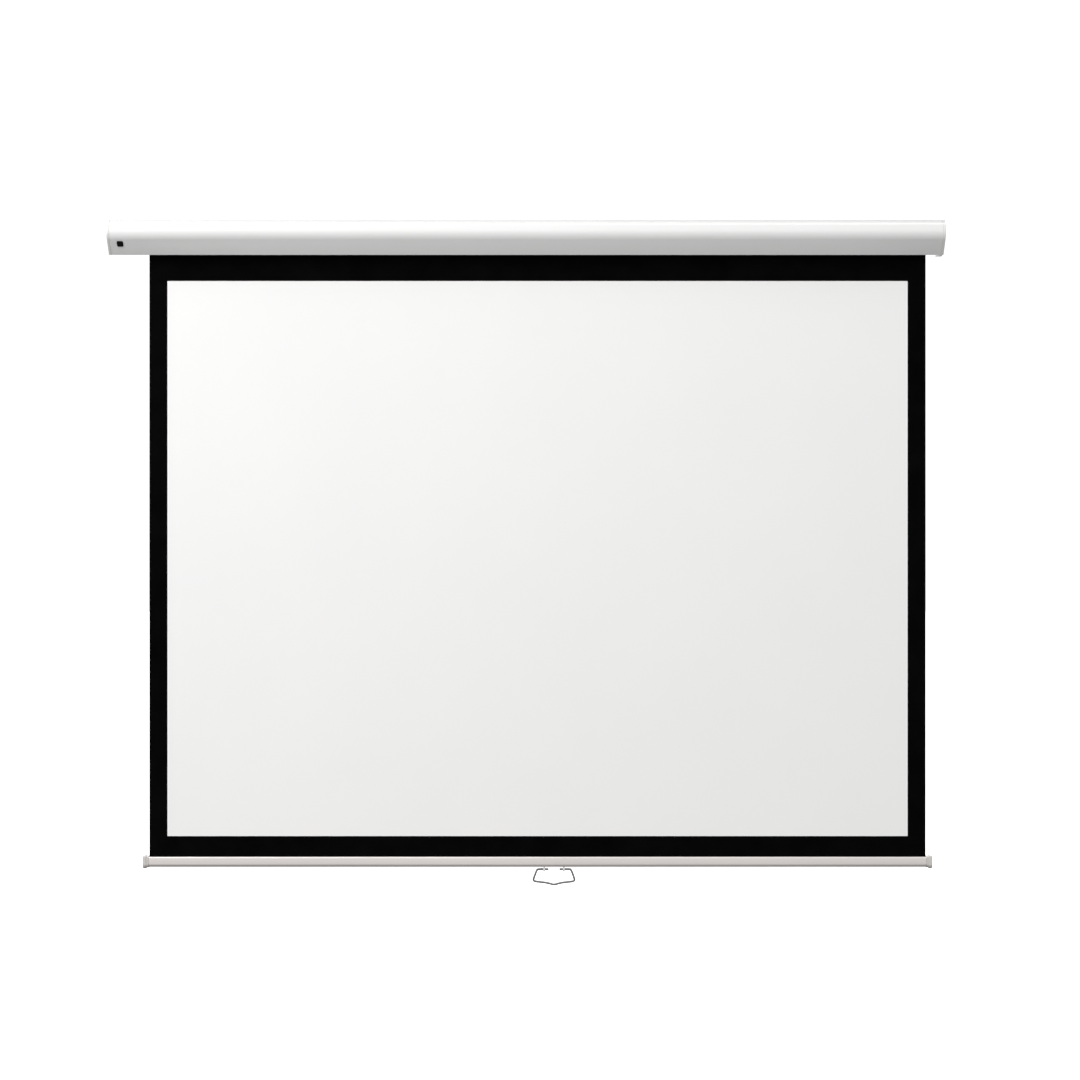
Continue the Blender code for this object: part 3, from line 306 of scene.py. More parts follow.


# %% [markdown]
# Powder coat is paint baked on as dust. It dries in tiny soft hills, like orange peel, about
# a millimetre across and only a few hundredths of a millimetre high. From the front's
# rounded top corner up to the rail the paint carries painted shade: its colour is darkened
# there, so the thin strip along the top reads grey.

# %% Casing finishes
PAINTED_SHADE_FROM = 0.0245
PAINTED_SHADE_FULL = 0.0290
RAIL_PAINTED_SHADE = 0.78
casing_paint = base_finish("casing_paint", (0.90, 0.90, 0.90), 0.42)
bump(casing_paint, noise(casing_paint, 700), 0.00003, 0.6)
drift(casing_paint, noise(casing_paint, 9), "Roughness", 0.38, 0.48)
drift(casing_paint, noise(casing_paint, 5, (0.4, 1, 1)), "Base Color", (0.888, 0.890, 0.890),
      (0.910, 0.910, 0.912))
# Painted shade: the colour darkens from the front's rounded top corner up to the rail.
paint_shade_above(casing_paint, PAINTED_SHADE_FROM, PAINTED_SHADE_FULL, RAIL_PAINTED_SHADE)
cap_plastic = base_finish("cap_plastic", (0.87, 0.87, 0.867), 0.45)
bump(cap_plastic, noise(cap_plastic, 1800), 0.00002, 0.5)
drift(cap_plastic, noise(cap_plastic, 30), "Roughness", 0.40, 0.52)
drift(cap_plastic, noise(cap_plastic, 14), "Base Color", (0.855, 0.855, 0.850),
      (0.885, 0.885, 0.880))
# Painted shade on the caps too, between the same heights as on the casing.
paint_shade_above(cap_plastic, PAINTED_SHADE_FROM, PAINTED_SHADE_FULL, RAIL_PAINTED_SHADE)
plug_plastic = base_finish("plug_plastic", (0.003, 0.003, 0.003), 0.55, specular=0.2)
bump(plug_plastic, noise(plug_plastic, 2200), 0.00002, 0.6)
drift(plug_plastic, noise(plug_plastic, 120), "Roughness", 0.45, 0.60)
print("casing finishes made")

# %% [markdown]
# Rolled and plated steel keeps fine lines from the rolls, and the zinc has cloudy patches.
# Turned parts and nylon only need a soft mottle. Each finish is made by one line of sizes.


# %% Finishes of the mechanism
def metal_finish(name, colour, roughness, lines):
    """A metal with rolling lines along X and cloudy patches."""
    finish = base_finish(name, colour, roughness, metallic=1.0)
    bump(finish, noise(finish, 900, lines, detail=2), 0.00001, 0.5)
    drift(finish, noise(finish, 45), "Roughness", roughness * 0.8, roughness * 1.25)
    darker = tuple(c * 0.86 for c in colour)
    drift(finish, noise(finish, 70), "Base Color", darker, colour)
    return finish


def moulded_finish(name, colour, roughness):
    """A plastic with a fine moulded grain and a faint mottle."""
    finish = base_finish(name, colour, roughness)
    bump(finish, noise(finish, 1500), 0.00002, 0.5)
    drift(finish, noise(finish, 60), "Roughness", roughness * 0.9, roughness * 1.15)
    darker = tuple(c * 0.93 for c in colour)
    drift(finish, noise(finish, 25), "Base Color", darker, colour)
    return finish


zinc_steel = metal_finish("zinc_steel", (0.62, 0.63, 0.64), 0.32, (0.05, 1, 1))
spring_wire_steel = metal_finish("spring_wire_steel", (0.22, 0.23, 0.25), 0.38, (1, 1, 1))
turned_brass = metal_finish("turned_brass", (0.78, 0.58, 0.28), 0.28, (3, 0.3, 0.3))
roller_aluminium = metal_finish("roller_aluminium", (0.72, 0.72, 0.73), 0.34, (0.02, 1, 1))
grey_nylon = moulded_finish("grey_nylon", (0.36, 0.36, 0.36), 0.5)
white_nylon = moulded_finish("white_nylon", (0.80, 0.80, 0.78), 0.4)
print("mechanism finishes made")

# %% [markdown]
# The bar is extruded aluminium, satin anodised. Drawing it through the die leaves long fine
# lines, so its noise is stretched a hundredfold along X. The handle is steel wire in a grey
# plastic skin, and the bar's end caps are soft grey plastic.

# %% Bar and handle finishes
bar_aluminium = base_finish("bar_aluminium", (0.90, 0.85, 0.83), 0.46, metallic=0.70)
bump(bar_aluminium, noise(bar_aluminium, 1600, (0.01, 1, 1), detail=4), 0.00002, 0.45)
drift(bar_aluminium, noise(bar_aluminium, 400, (0.01, 1, 1)), "Roughness", 0.42, 0.52)
drift(bar_aluminium, noise(bar_aluminium, 3, (0.5, 1, 1)), "Base Color", (0.88, 0.835, 0.815),
      (0.92, 0.870, 0.845))
bar_end_plastic = moulded_finish("bar_end_plastic", (0.64, 0.62, 0.60), 0.42)
wire_skin = moulded_finish("wire_skin", (0.17, 0.17, 0.17), 0.55)
clip_plastic = moulded_finish("clip_plastic", (0.78, 0.78, 0.76), 0.38)
print("bar finishes made")

# %% [markdown]
# The cloth is woven and coated. Its back and its border are black, and the weave shows only
# as a fine crossed rib. The picture surface is a matt white coat whose grain spreads the
# light evenly. Two wave patterns, across and down, make the weave.


# %% Cloth finishes
THREADS = 1400
WAVES_AT_SCALE_ONE = 3.1831


def weave(finish, depth):
    """Threads across and down, as two crossed waves of a real thread count per metre."""
    nodes, links = finish.node_tree.nodes, finish.node_tree.links
    place = nodes.new("ShaderNodeTexCoord")
    crossed = nodes.new("ShaderNodeMath")
    crossed.operation = 'MAXIMUM'
    for index, axis in enumerate(('X', 'Z')):
        thread = nodes.new("ShaderNodeTexWave")
        thread.wave_type = 'BANDS'
        thread.bands_direction = axis
        thread.inputs["Scale"].default_value = THREADS / WAVES_AT_SCALE_ONE
        thread.inputs["Distortion"].default_value = 0.6
        thread.inputs["Detail"].default_value = 1.0
        links.new(place.outputs["Object"], thread.inputs["Vector"])
        links.new(thread.outputs["Fac"], crossed.inputs[index])
    bump(finish, crossed.outputs[0], depth, 0.5)


black_cloth = base_finish("black_cloth", (0.0015, 0.0015, 0.0015), 0.9, specular=0.02)
weave(black_cloth, 0.00006)
drift(black_cloth, noise(black_cloth, 18), "Base Color", (0.0010, 0.0010, 0.0011),
      (0.0022, 0.0022, 0.0023))
drift(black_cloth, noise(black_cloth, 700), "Roughness", 0.75, 0.95)
white_coat = base_finish("white_coat", (0.90, 0.90, 0.895), 0.75, specular=0.25)
weave(white_coat, 0.00002)
drift(white_coat, noise(white_coat, 3), "Base Color", (0.890, 0.893, 0.892),
      (0.905, 0.905, 0.900))
drift(white_coat, noise(white_coat, 900), "Roughness", 0.68, 0.82)
print("cloth finishes made")

# %% [markdown]
# Long extrusions and caps all start as an outline in Y and Z that runs along X. These helpers
# draw arcs, round the corners of a line as a metal bend does, give a line a wall, and run a
# closed outline from one X to another. Booleans then join and cut as in the CAD source.


# %% Helpers for outlines
def arc(centre, radii, start, end, steps):
    """Points on an ellipse, angles in degrees from +Y towards +Z."""
    turns = [math.radians(start + (end - start) * i / steps) for i in range(steps + 1)]
    return [(centre[0] + radii[0] * math.cos(turn), centre[1] + radii[1] * math.sin(turn))
            for turn in turns]


def eased(points, radius, steps=4, closed=False, least=30):
    """Round the corners of a line that turn by more than the least angle."""
    line = []
    count = len(points)
    for i, point in enumerate(points):
        here = Vector(point)
        if not closed and i in (0, count - 1):
            line.append(tuple(here))
            continue
        before = Vector(points[i - 1]) - here
        after = Vector(points[(i + 1) % count]) - here
        bend = math.pi - before.angle(after)
        if bend < math.radians(least):
            line.append(tuple(here))
            continue
        reach = min(radius * math.tan(bend / 2), before.length * 0.45, after.length * 0.45)
        first = here + before.normalized() * reach
        last = here + after.normalized() * reach
        for step in range(steps + 1):
            t = step / steps
            line.append(tuple(first * (1 - t) ** 2 + here * 2 * t * (1 - t) + last * t ** 2))
    return line


def offset_line(points, distance):
    """An open line moved to its left by a distance, with mitred corners."""
    moved = []
    for i, point in enumerate(points):
        here = Vector(point)
        back = here - Vector(points[i - 1]) if i else Vector(points[1]) - here
        ahead = Vector(points[i + 1]) - here if i + 1 < len(points) else back
        side_back = Vector((-back.y, back.x)).normalized()
        side_ahead = Vector((-ahead.y, ahead.x)).normalized()
        mitre = side_back + side_ahead
        mitre = mitre * (2 / mitre.length_squared)
        moved.append(tuple(here + mitre * distance))
    return moved


def run_along(name, outline, x_low, x_high):
    """A closed outline in (y, z) run along X as a closed solid."""
    work = bmesh.new()
    rings = [[work.verts.new((x, y, z)) for y, z in outline] for x in (x_low, x_high)]
    count = len(outline)
    for i in range(count):
        j = (i + 1) % count
        work.faces.new((rings[0][i], rings[0][j], rings[1][j], rings[1][i]))
    work.faces.new(rings[0])
    work.faces.new(rings[1])
    bmesh.ops.recalc_face_normals(work, faces=work.faces)
    return new_piece(name, work)


def new_piece(name, work):
    """An object in the scene from an edited mesh, which is used up."""
    mesh = bpy.data.meshes.new(name)
    work.to_mesh(mesh)
    work.free()
    piece = bpy.data.objects.new(name, mesh)
    bpy.context.scene.collection.objects.link(piece)
    return piece


def cut_or_join(piece, tool, operation):
    """One exact boolean, applied at once; the tool is used up."""
    change = piece.modifiers.new("change", 'BOOLEAN')
    change.operation = operation
    change.solver = 'EXACT'
    change.object = tool
    settle(piece)
    bpy.data.objects.remove(tool)


def settle(piece):
    """Replace a piece's mesh by what its modifiers make of it."""
    bpy.context.view_layer.update()
    graph = bpy.context.evaluated_depsgraph_get()
    made = bpy.data.meshes.new_from_object(piece.evaluated_get(graph))
    piece.modifiers.clear()
    piece.data = made
    return piece


def rod(name, radius, start, end, sides=48):
    """A round solid between two points."""
    axis = Vector(end) - Vector(start)
    turn = axis.to_track_quat('Z', 'Y').to_matrix().to_4x4()
    middle = Matrix.Translation((Vector(start) + Vector(end)) / 2)
    work = bmesh.new()
    bmesh.ops.create_cone(work, cap_ends=True, segments=sides, radius1=radius, radius2=radius,
                          depth=axis.length, matrix=middle @ turn)
    return new_piece(name, work)


def block(name, low, high):
    """A plain block between two corners, for cutting and joining."""
    stretch = Matrix.Diagonal((*(Vector(high) - Vector(low)), 1))
    middle = Matrix.Translation((Vector(high) + Vector(low)) / 2)
    work = bmesh.new()
    bmesh.ops.create_cube(work, size=1, matrix=middle @ stretch)
    return new_piece(name, work)


def dress(piece, finish, body, slot, *nodes, crease=35):
    """Smooth the shading, give the finish, ride on a body and stand for CAD nodes."""
    mesh = piece.data
    mesh.materials.clear()
    mesh.materials.append(finish)
    mesh.polygons.foreach_set("use_smooth", [True] * len(mesh.polygons))
    mesh.set_sharp_from_angle(angle=math.radians(crease))
    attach(piece, body)
    if nodes:
        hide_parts(*nodes)
    print(piece.name, len(mesh.polygons), "faces")
    return piece


# %% [markdown]
# The casing is one bent aluminium wall, 1.8 mm thick. Its outside line starts at the slot's
# rear edge, goes round the back and its shallow recess, over the roof and down the upright
# front, which rolls inwards to a crease. From there the sloping grey face leads to the front
# of the slot. The underside rises towards the wall, so it hides behind that face's lower
# edge. The bends are rounded here, because they catch the light.

# %% Casing line
DEPTH = 0.080
BASE = -0.041
TOP = 0.037
WALL = 0.0018
ROOF = 0.0285
RAIL_FRONT = -0.066
RAIL_REAR = -0.048
FRONT_CORNER = 0.005
FRONT_FLAT = 0.0115
ROLL_RADIUS = 0.035
CREASE = 3
EDGE_Y = -0.047
RISE = 0.0065
SLOT_REAR = -0.016
SLOT_FRONT = -0.030
SLOT_LIP = 0.004
RECESS_Y = -0.007
RECESS_BASE = 0.001
BEND = 0.0012
GAP = 0.0003
TILT = math.atan2(RISE, -EDGE_Y)


def base_at(y, above=0.0):
    """The underside's height at a depth; it rises towards the wall."""
    return BASE + RISE * (1 - y / EDGE_Y) + above / math.cos(TILT)


roll_centre = Vector((-DEPTH + ROLL_RADIUS, ROOF - FRONT_CORNER - FRONT_FLAT))
to_edge = Vector((EDGE_Y, BASE)) - roll_centre
tangent_turn = math.asin(ROLL_RADIUS / to_edge.length) + math.atan2(to_edge.x, -to_edge.y)
ROLL_TURN = CREASE + math.degrees(tangent_turn)


def front_line(inset=0.0):
    """The rounded top corner, the upright front, and the roll that ends at the crease."""
    corner, roll = FRONT_CORNER - inset, ROLL_RADIUS - inset
    points = arc((-DEPTH + FRONT_CORNER, ROOF - FRONT_CORNER), (corner, corner), 90, 180, 10)
    return points + arc(roll_centre, (roll, roll), 180, 180 + ROLL_TURN, 36)


front = front_line()
casing_line = [(SLOT_REAR, base_at(SLOT_REAR) + SLOT_LIP), (SLOT_REAR, base_at(SLOT_REAR)),
               (0, base_at(0)), (0, RECESS_BASE), (RECESS_Y, RECESS_BASE), (RECESS_Y, ROOF)]
casing_line += front
casing_line += [(EDGE_Y, BASE), (SLOT_FRONT, base_at(SLOT_FRONT)),
                (SLOT_FRONT, base_at(SLOT_FRONT) + SLOT_LIP)]
casing_line = eased(casing_line, BEND)
print("casing line:", len(casing_line), "points")

# %% [markdown]
# The wall line gets its thickness towards the inside. Then the hooked rail on the roof, the
# hanging lip at the back, three screw ports and the window for the square plug are joined or
# cut, all at the CAD's sizes. The crease's edges are marked sharp, so it isn't shaded away.

# %% Casing
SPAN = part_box("casing_extrusion")[1].x
ROLLER_Y, ROLLER_Z = -0.0441, 0.002
PORT_AWAY = 0.0052
PORTS = ((RECESS_Y - PORT_AWAY, ROOF - PORT_AWAY, -45),
         (-PORT_AWAY, base_at(-PORT_AWAY, PORT_AWAY), 135),
         (EDGE_Y + PORT_AWAY, base_at(EDGE_Y + PORT_AWAY, PORT_AWAY), 45))
PORT_OUTER = 0.0038
PORT_INNER = 0.00195
PORT_SLIT = 25
HOOK_DROP = 0.0132
RIB_WALL = 0.0016
RIB_LIP = 0.0036
SLOPE_TOP = Vector(front[-1])
SLOPE_END = Vector((EDGE_Y, BASE))
SLOPE_OUT = Vector(((SLOPE_END - SLOPE_TOP).y, -(SLOPE_END - SLOPE_TOP).x)).normalized()
PLUG_X = -0.9286
PLUG_ALONG = 0.215
WINDOW_SIZE = 0.012


def rib_outline(outside, inward):
    """One hooked rib of the roof rail."""
    root = ROOF - WALL / 2
    inside, lip_end = outside + inward * RIB_WALL, outside + inward * (RIB_WALL + RIB_LIP)
    return [(outside, root), (outside, TOP), (lip_end, TOP), (lip_end, TOP - RIB_WALL),
            (inside, TOP - RIB_WALL), (inside, root)]


def on_slope(name, size, inner, outer):
    """A square block and its place on the sloping face, between two heights above it."""
    middle = SLOPE_TOP.lerp(SLOPE_END, PLUG_ALONG) + SLOPE_OUT * (inner + outer) / 2
    turn = Matrix.Rotation(math.atan2(-SLOPE_OUT.x, SLOPE_OUT.y), 4, 'X')
    place = Matrix.Translation((PLUG_X, middle.x, middle.y)) @ turn
    work = bmesh.new()
    bmesh.ops.create_cube(work, size=1, matrix=Matrix.Diagonal((size, size, outer - inner, 1)))
    return new_piece(name, work), place


wall_outline = casing_line + offset_line(casing_line, WALL)[::-1]
casing = run_along("painted_casing", wall_outline, -SPAN, SPAN)
hook = [(0, ROOF), (0, ROOF - HOOK_DROP), (-WALL, ROOF - HOOK_DROP), (-WALL, ROOF - WALL),
        (RECESS_Y - WALL / 2, ROOF - WALL), (RECESS_Y - WALL / 2, ROOF)]
for outline in (hook, rib_outline(RAIL_FRONT, 1), rib_outline(RAIL_REAR, -1)):
    cut_or_join(casing, run_along("rib", outline, -SPAN, SPAN), 'UNION')
for y, z, slit in PORTS:
    ring = arc((y, z), (PORT_OUTER, PORT_OUTER), slit + PORT_SLIT, slit + 360 - PORT_SLIT, 24)
    ring += arc((y, z), (PORT_INNER, PORT_INNER), slit + 360 - PORT_SLIT, slit + PORT_SLIT, 20)
    cut_or_join(casing, run_along("port", ring, -SPAN, SPAN), 'UNION')
window, place = on_slope("window", WINDOW_SIZE, -2 * WALL, WALL)
window.data.transform(place)
cut_or_join(casing, window, 'DIFFERENCE')
dress(casing, casing_paint, "casing", "casing_paint", "casing_extrusion", crease=24)
SAME_PLACE = 0.0001
for edge in casing.data.edges:
    ends = [casing.data.vertices[index].co for index in edge.vertices]
    if all((end.yz - SLOPE_TOP).length < SAME_PLACE for end in ends):
        edge.use_edge_sharp = True
print("sharp edges:", sum(edge.use_edge_sharp for edge in casing.data.edges))

# %% [markdown]
# The square plug is a small moulding with soft corners. Its upright edges are rounded first
# and its face edge after that, and a stem goes through the window behind it.

# %% Square plug
PLUG_SIZE = 0.0144
PLUG_THICKNESS = 0.001
PLUG_CORNER = 0.003
plug, place = on_slope("square_plug", PLUG_SIZE, GAP, GAP + PLUG_THICKNESS)
work = bmesh.new()
work.from_mesh(plug.data)
upright = [edge for edge in work.edges
           if abs((edge.verts[0].co - edge.verts[1].co).normalized().z) > 0.9]
bmesh.ops.bevel(work, geom=upright, offset=PLUG_CORNER, segments=8, profile=0.5, affect='EDGES')
top = max(vert.co.z for vert in work.verts)
rim = [edge for edge in work.edges if all(abs(vert.co.z - top) < 1e-6 for vert in edge.verts)]
bmesh.ops.bevel(work, geom=rim, offset=0.0004, segments=3, profile=0.5, affect='EDGES')
work.to_mesh(plug.data)
work.free()
plug.data.transform(place)
stem, place = on_slope("stem", WINDOW_SIZE - 2 * GAP, -WALL, GAP + PLUG_THICKNESS / 2)
stem.data.transform(place)
cut_or_join(plug, stem, 'UNION')
dress(plug, plug_plastic, "casing", "black_plastic", "blanking_plug", crease=40)

# %% [markdown]
# The end caps are injection moulded. Each has the casing's whole outline, 6 mm thick, with
# its rims rounded so that a dark seam shows where it meets the metal. The steel plate sits
# in a pocket inside, and three screw heads sink into the outer face. The right cap has the
# small tab that shows under it in the photograph.

# %% End caps
CAP_INNER, CAP_OUTER = SPAN + GAP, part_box("right_end_cap")[1].x
CAP_RIM = 0.0009
CAP_BACK_CORNER = 0.0015
POCKET_FLOOR = CAP_INNER + 0.0023
POCKET_INSET = 0.0025
SHAFT_POCKET = 0.0059, 0.00175
SCREW_HOLE = 0.0019
HEAD_POCKET = 0.0039, 0.0023
TAB_ENDS = 0.0165, 0.003
TAB_DEPTH = 0.012
TAB_DROP = 0.0018


def cap_outline(inset, with_rail=False):
    """The casing's whole outline, moved inwards; the rail's block stands on top if asked."""
    corner = CAP_BACK_CORNER
    away = inset + corner
    points = arc((-away, base_at(-away, away)), (corner, corner), math.degrees(TILT) - 90, 0, 5)
    points.append((-inset, ROOF - inset))
    if with_rail:
        points += [(RAIL_REAR, ROOF), (RAIL_REAR, TOP), (RAIL_FRONT, TOP), (RAIL_FRONT, ROOF)]
    points += front_line(inset)
    base_out = Vector((math.sin(TILT), -math.cos(TILT)))
    mitre = (SLOPE_OUT + base_out) / (1 + SLOPE_OUT.dot(base_out))
    points.append(tuple(SLOPE_END - inset * mitre))
    return points


def round_rims(piece, width, segments=3, limit=50):
    """Round every edge that turns by more than the limit."""
    rims = piece.modifiers.new("rims", 'BEVEL')
    rims.width = width
    rims.segments = segments
    rims.limit_method = 'ANGLE'
    rims.angle_limit = math.radians(limit)
    return settle(piece)


for side, label in ((-1, "left"), (1, "right")):
    low, high = sorted((side * CAP_INNER, side * CAP_OUTER))
    cap = run_along(label + "_casing_cap", cap_outline(0, with_rail=True), low, high)
    round_rims(cap, CAP_RIM)
    if side > 0:
        tab_low = (CAP_OUTER - TAB_ENDS[0], EDGE_Y + WALL, BASE - TAB_DROP)
        tab_high = (CAP_OUTER - TAB_ENDS[1], EDGE_Y + WALL + TAB_DEPTH, BASE - GAP)
        tab = round_rims(block("tab", tab_low, tab_high), 0.0004)
        root = block("tab_root", (CAP_INNER, tab_low[1], tab_low[2] + 0.0004),
                     (tab_high[0], tab_high[1], base_at(tab_high[1]) + WALL))
        cut_or_join(cap, tab, 'UNION')
        cut_or_join(cap, root, 'UNION')
    low, high = sorted((side * (CAP_INNER - GAP), side * POCKET_FLOOR))
    pocket = run_along("plate_pocket", cap_outline(POCKET_INSET), low, high)
    cut_or_join(cap, pocket, 'DIFFERENCE')
    shaft = rod("shaft_pocket", SHAFT_POCKET[0], (side * CAP_INNER, ROLLER_Y, ROLLER_Z),
                (side * (POCKET_FLOOR + SHAFT_POCKET[1]), ROLLER_Y, ROLLER_Z))
    cut_or_join(cap, shaft, 'DIFFERENCE')
    for y, z, _ in PORTS:
        outer = (side * (CAP_OUTER + GAP), y, z)
        hole = rod("screw_hole", SCREW_HOLE, (side * SPAN, y, z), outer, sides=32)
        cut_or_join(cap, hole, 'DIFFERENCE')
        head_pocket = rod("head_pocket", HEAD_POCKET[0],
                          (side * (CAP_OUTER - HEAD_POCKET[1]), y, z), outer)
        cut_or_join(cap, head_pocket, 'DIFFERENCE')
    dress(cap, cap_plastic, "casing", "white_plastic", label + "_end_cap")

# %% [markdown]
# Six cap screws are the same screw, so Geometry Nodes draw one and copy it to six points.
# Each point carries the direction its screw faces. The head is a cone with a cross cut into
# it by a boolean, and the shank is joined to it. The tree ends in real meshes.


# %% A tree of nodes for the screws
def node_maker(tree):
    """A short way to add a node, set its inputs and link them."""
    def make(kind, settings=None, **inputs):
        node = tree.nodes.new(kind)
        for name, value in (settings or {}).items():
            setattr(node, name, value)
        for name, value in inputs.items():
            socket = node.inputs[name.replace("_", " ")]
            if hasattr(value, "node"):
                tree.links.new(value, socket)
            else:
                socket.default_value = value
        return node
    return make


def new_tree(name, sizes):
    """A geometry tree with named sizes; sizes maps a name to (socket kind, value)."""
    tree = bpy.data.node_groups.new(name, 'GeometryNodeTree')
    tree.interface.new_socket("Geometry", in_out='INPUT', socket_type='NodeSocketGeometry')
    for size, (kind, value) in sizes.items():
        socket = tree.interface.new_socket(size, in_out='INPUT', socket_type=kind)
        if kind != 'NodeSocketMaterial':
            socket.default_value = value
    tree.interface.new_socket("Geometry", in_out='OUTPUT', socket_type='NodeSocketGeometry')
    return tree


def run_tree(piece, tree, sizes):
    """Give the tree its sizes by socket identifier and make its result a plain mesh."""
    modifier = piece.modifiers.new(tree.name, 'NODES')
    modifier.node_group = tree
    for item in tree.interface.items_tree:
        if item.item_type == 'SOCKET' and item.in_out == 'INPUT' and item.name in sizes:
            modifier[item.identifier] = sizes[item.name][1]
    return settle(piece)


SCREW_SIZES = {
    "Head radius": ('NodeSocketFloat', 0.0036),
    "Head height": ('NodeSocketFloat', 0.0020),
    "Shank radius": ('NodeSocketFloat', 0.0016),
    "Shank length": ('NodeSocketFloat', 0.0160),
    "Cross width": ('NodeSocketFloat', 0.0008),
    "Finish": ('NodeSocketMaterial', zinc_steel),
}
CROWN_SHARE = 0.78
SHANK_DROP = -0.495
screw_tree = new_tree("pan_head_screws", SCREW_SIZES)
make = node_maker(screw_tree)
given = make("NodeGroupInput").outputs
joined = make("NodeGroupOutput")
crown = make("ShaderNodeMath", {"operation": 'MULTIPLY'})
screw_tree.links.new(given["Head radius"], crown.inputs[0])
crown.inputs[1].default_value = CROWN_SHARE
head = make("GeometryNodeMeshCone", Vertices=32, Radius_Bottom=given["Head radius"],
            Radius_Top=crown.outputs[0], Depth=given["Head height"])
arm = make("ShaderNodeCombineXYZ", X=given["Head radius"], Y=given["Cross width"],
           Z=given["Head height"])
bar_one = make("GeometryNodeMeshCube", Size=arm.outputs[0])
bar_two = make("GeometryNodeTransform", Geometry=bar_one.outputs[0], Rotation=(0, 0, math.pi / 2))
lift = make("ShaderNodeCombineXYZ", Z=given["Head height"])
cross = make("GeometryNodeJoinGeometry")
for arm_bar in (bar_one, bar_two):
    screw_tree.links.new(arm_bar.outputs[0], cross.inputs[0])
cross_up = make("GeometryNodeTransform", Geometry=cross.outputs[0], Translation=lift.outputs[0])
cut = make("GeometryNodeMeshBoolean", {"operation": 'DIFFERENCE', "solver": 'EXACT'},
           Self_Intersection=True)
screw_tree.links.new(head.outputs["Mesh"], cut.inputs["Mesh 1"])
screw_tree.links.new(cross_up.outputs[0], cut.inputs["Mesh 2"])
shank = make("GeometryNodeMeshCylinder", Vertices=24, Radius=given["Shank radius"],
             Depth=given["Shank length"])
half = make("ShaderNodeMath", {"operation": 'MULTIPLY'})
screw_tree.links.new(given["Shank length"], half.inputs[0])
half.inputs[1].default_value = SHANK_DROP
drop = make("ShaderNodeCombineXYZ", Z=half.outputs[0])
shank_down = make("GeometryNodeTransform", Geometry=shank.outputs["Mesh"],
                  Translation=drop.outputs[0])
screw = make("GeometryNodeMeshBoolean", {"operation": 'UNION', "solver": 'EXACT'})
for part in (cut, shank_down):
    screw_tree.links.new(part.outputs[0], screw.inputs["Mesh 2"])
facing = make("GeometryNodeInputNamedAttribute", {"data_type": 'FLOAT_VECTOR'}, Name="facing")
turned = make("FunctionNodeAlignRotationToVector", {"axis": 'Z'},
              Vector=facing.outputs["Attribute"])
copies = make("GeometryNodeInstanceOnPoints", Points=given["Geometry"], Instance=screw.outputs[0],
              Rotation=turned.outputs[0])
real = make("GeometryNodeRealizeInstances", Geometry=copies.outputs[0])
finished = make("GeometryNodeSetMaterial", Geometry=real.outputs[0], Material=given["Finish"])
screw_tree.links.new(finished.outputs[0], joined.inputs[0])
print("screw tree:", len(screw_tree.nodes), "nodes")

# %% Cap screws
work = bmesh.new()
facing_layer = work.verts.layers.float_vector.new("facing")
screw_nodes = [f"{label}_cap_screw_{n}" for label in ("left", "right") for n in (1, 2, 3)]
for node in screw_nodes:
    low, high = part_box(node)
    side = 1 if node.startswith("right") else -1
    head_base = (high.x if side > 0 else -low.x) - SCREW_SIZES["Head height"][1]
    point = work.verts.new((side * head_base, (low.y + high.y) / 2, (low.z + high.z) / 2))
    point[facing_layer] = (side, 0, 0)
screws = new_piece("cap_screws", work)
run_tree(screws, screw_tree, SCREW_SIZES)
dress(screws, zinc_steel, "casing", "steel", *screw_nodes)

# %% [markdown]
# The winding spring is a helix, which is a rule and not a drawing. A spiral curve with equal
# radii, a round wire profile and a turn on to the X axis give all of its turns at once.

# %% Winding spring
spring_low, spring_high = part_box("torsion_spring")
WIRE = 0.00125
SPRING_SIZES = {
    "Turns": ('NodeSocketFloat', 28.0),
    "Coil radius": ('NodeSocketFloat', 0.0095),
    "Coil length": ('NodeSocketFloat', spring_high.x - spring_low.x - 2 * WIRE),
    "Wire radius": ('NodeSocketFloat', WIRE),
    "Finish": ('NodeSocketMaterial', spring_wire_steel),
}
spring_tree = new_tree("winding_spring_coil", SPRING_SIZES)
make = node_maker(spring_tree)
given = make("NodeGroupInput").outputs
joined = make("NodeGroupOutput")
coil = make("GeometryNodeCurveSpiral", Resolution=28, Rotations=given["Turns"],
            Start_Radius=given["Coil radius"], End_Radius=given["Coil radius"],
            Height=given["Coil length"])
profile = make("GeometryNodeCurvePrimitiveCircle", Resolution=10, Radius=given["Wire radius"])
wire_mesh = make("GeometryNodeCurveToMesh", Curve=coil.outputs[0],
                 Profile_Curve=profile.outputs[0], Fill_Caps=True)
laid = make("GeometryNodeTransform", Geometry=wire_mesh.outputs[0], Rotation=(0, math.pi / 2, 0),
            Translation=(spring_low.x + WIRE, ROLLER_Y, ROLLER_Z))
real = make("GeometryNodeRealizeInstances", Geometry=laid.outputs[0])
finished = make("GeometryNodeSetMaterial", Geometry=real.outputs[0], Material=given["Finish"])
spring_tree.links.new(finished.outputs[0], joined.inputs[0])
spring = run_tree(new_piece("winding_spring", bmesh.new()), spring_tree, SPRING_SIZES)
dress(spring, spring_wire_steel, "roller", "spring_steel", "torsion_spring", crease=60)
print("spring reaches", [round(v, 4) for v in spring.dimensions])

# %% [markdown]
# The weight bar is a hollow extrusion with a flat face, small top corners and a rounded
# keel. The hem sits in its upper channel and the handle's clips in its lower one, and both
# channels open through a slot. The arcs are finer here than in the CAD, so the long
# highlights run smoothly.

# %% Weight bar
CLOTH_Y = -0.023
CLOTH_X = 0.0259
BAR_LOW, BAR_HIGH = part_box("bottom_bar")
BAR_Z = (BAR_LOW.z + BAR_HIGH.z) / 2
BAR_HALF_HEIGHT = 0.012
BAR_HALF_DEPTH = 0.009
BAR_CORNER = 0.002
BAR_KEEL = 0.008
BAR_WALL = 0.0012
WEB_RISE = 0.0005
HEM_SLOT_HALF = 0.0018
CLIP_SLOT_HALF = 0.0025
PAST = 0.001


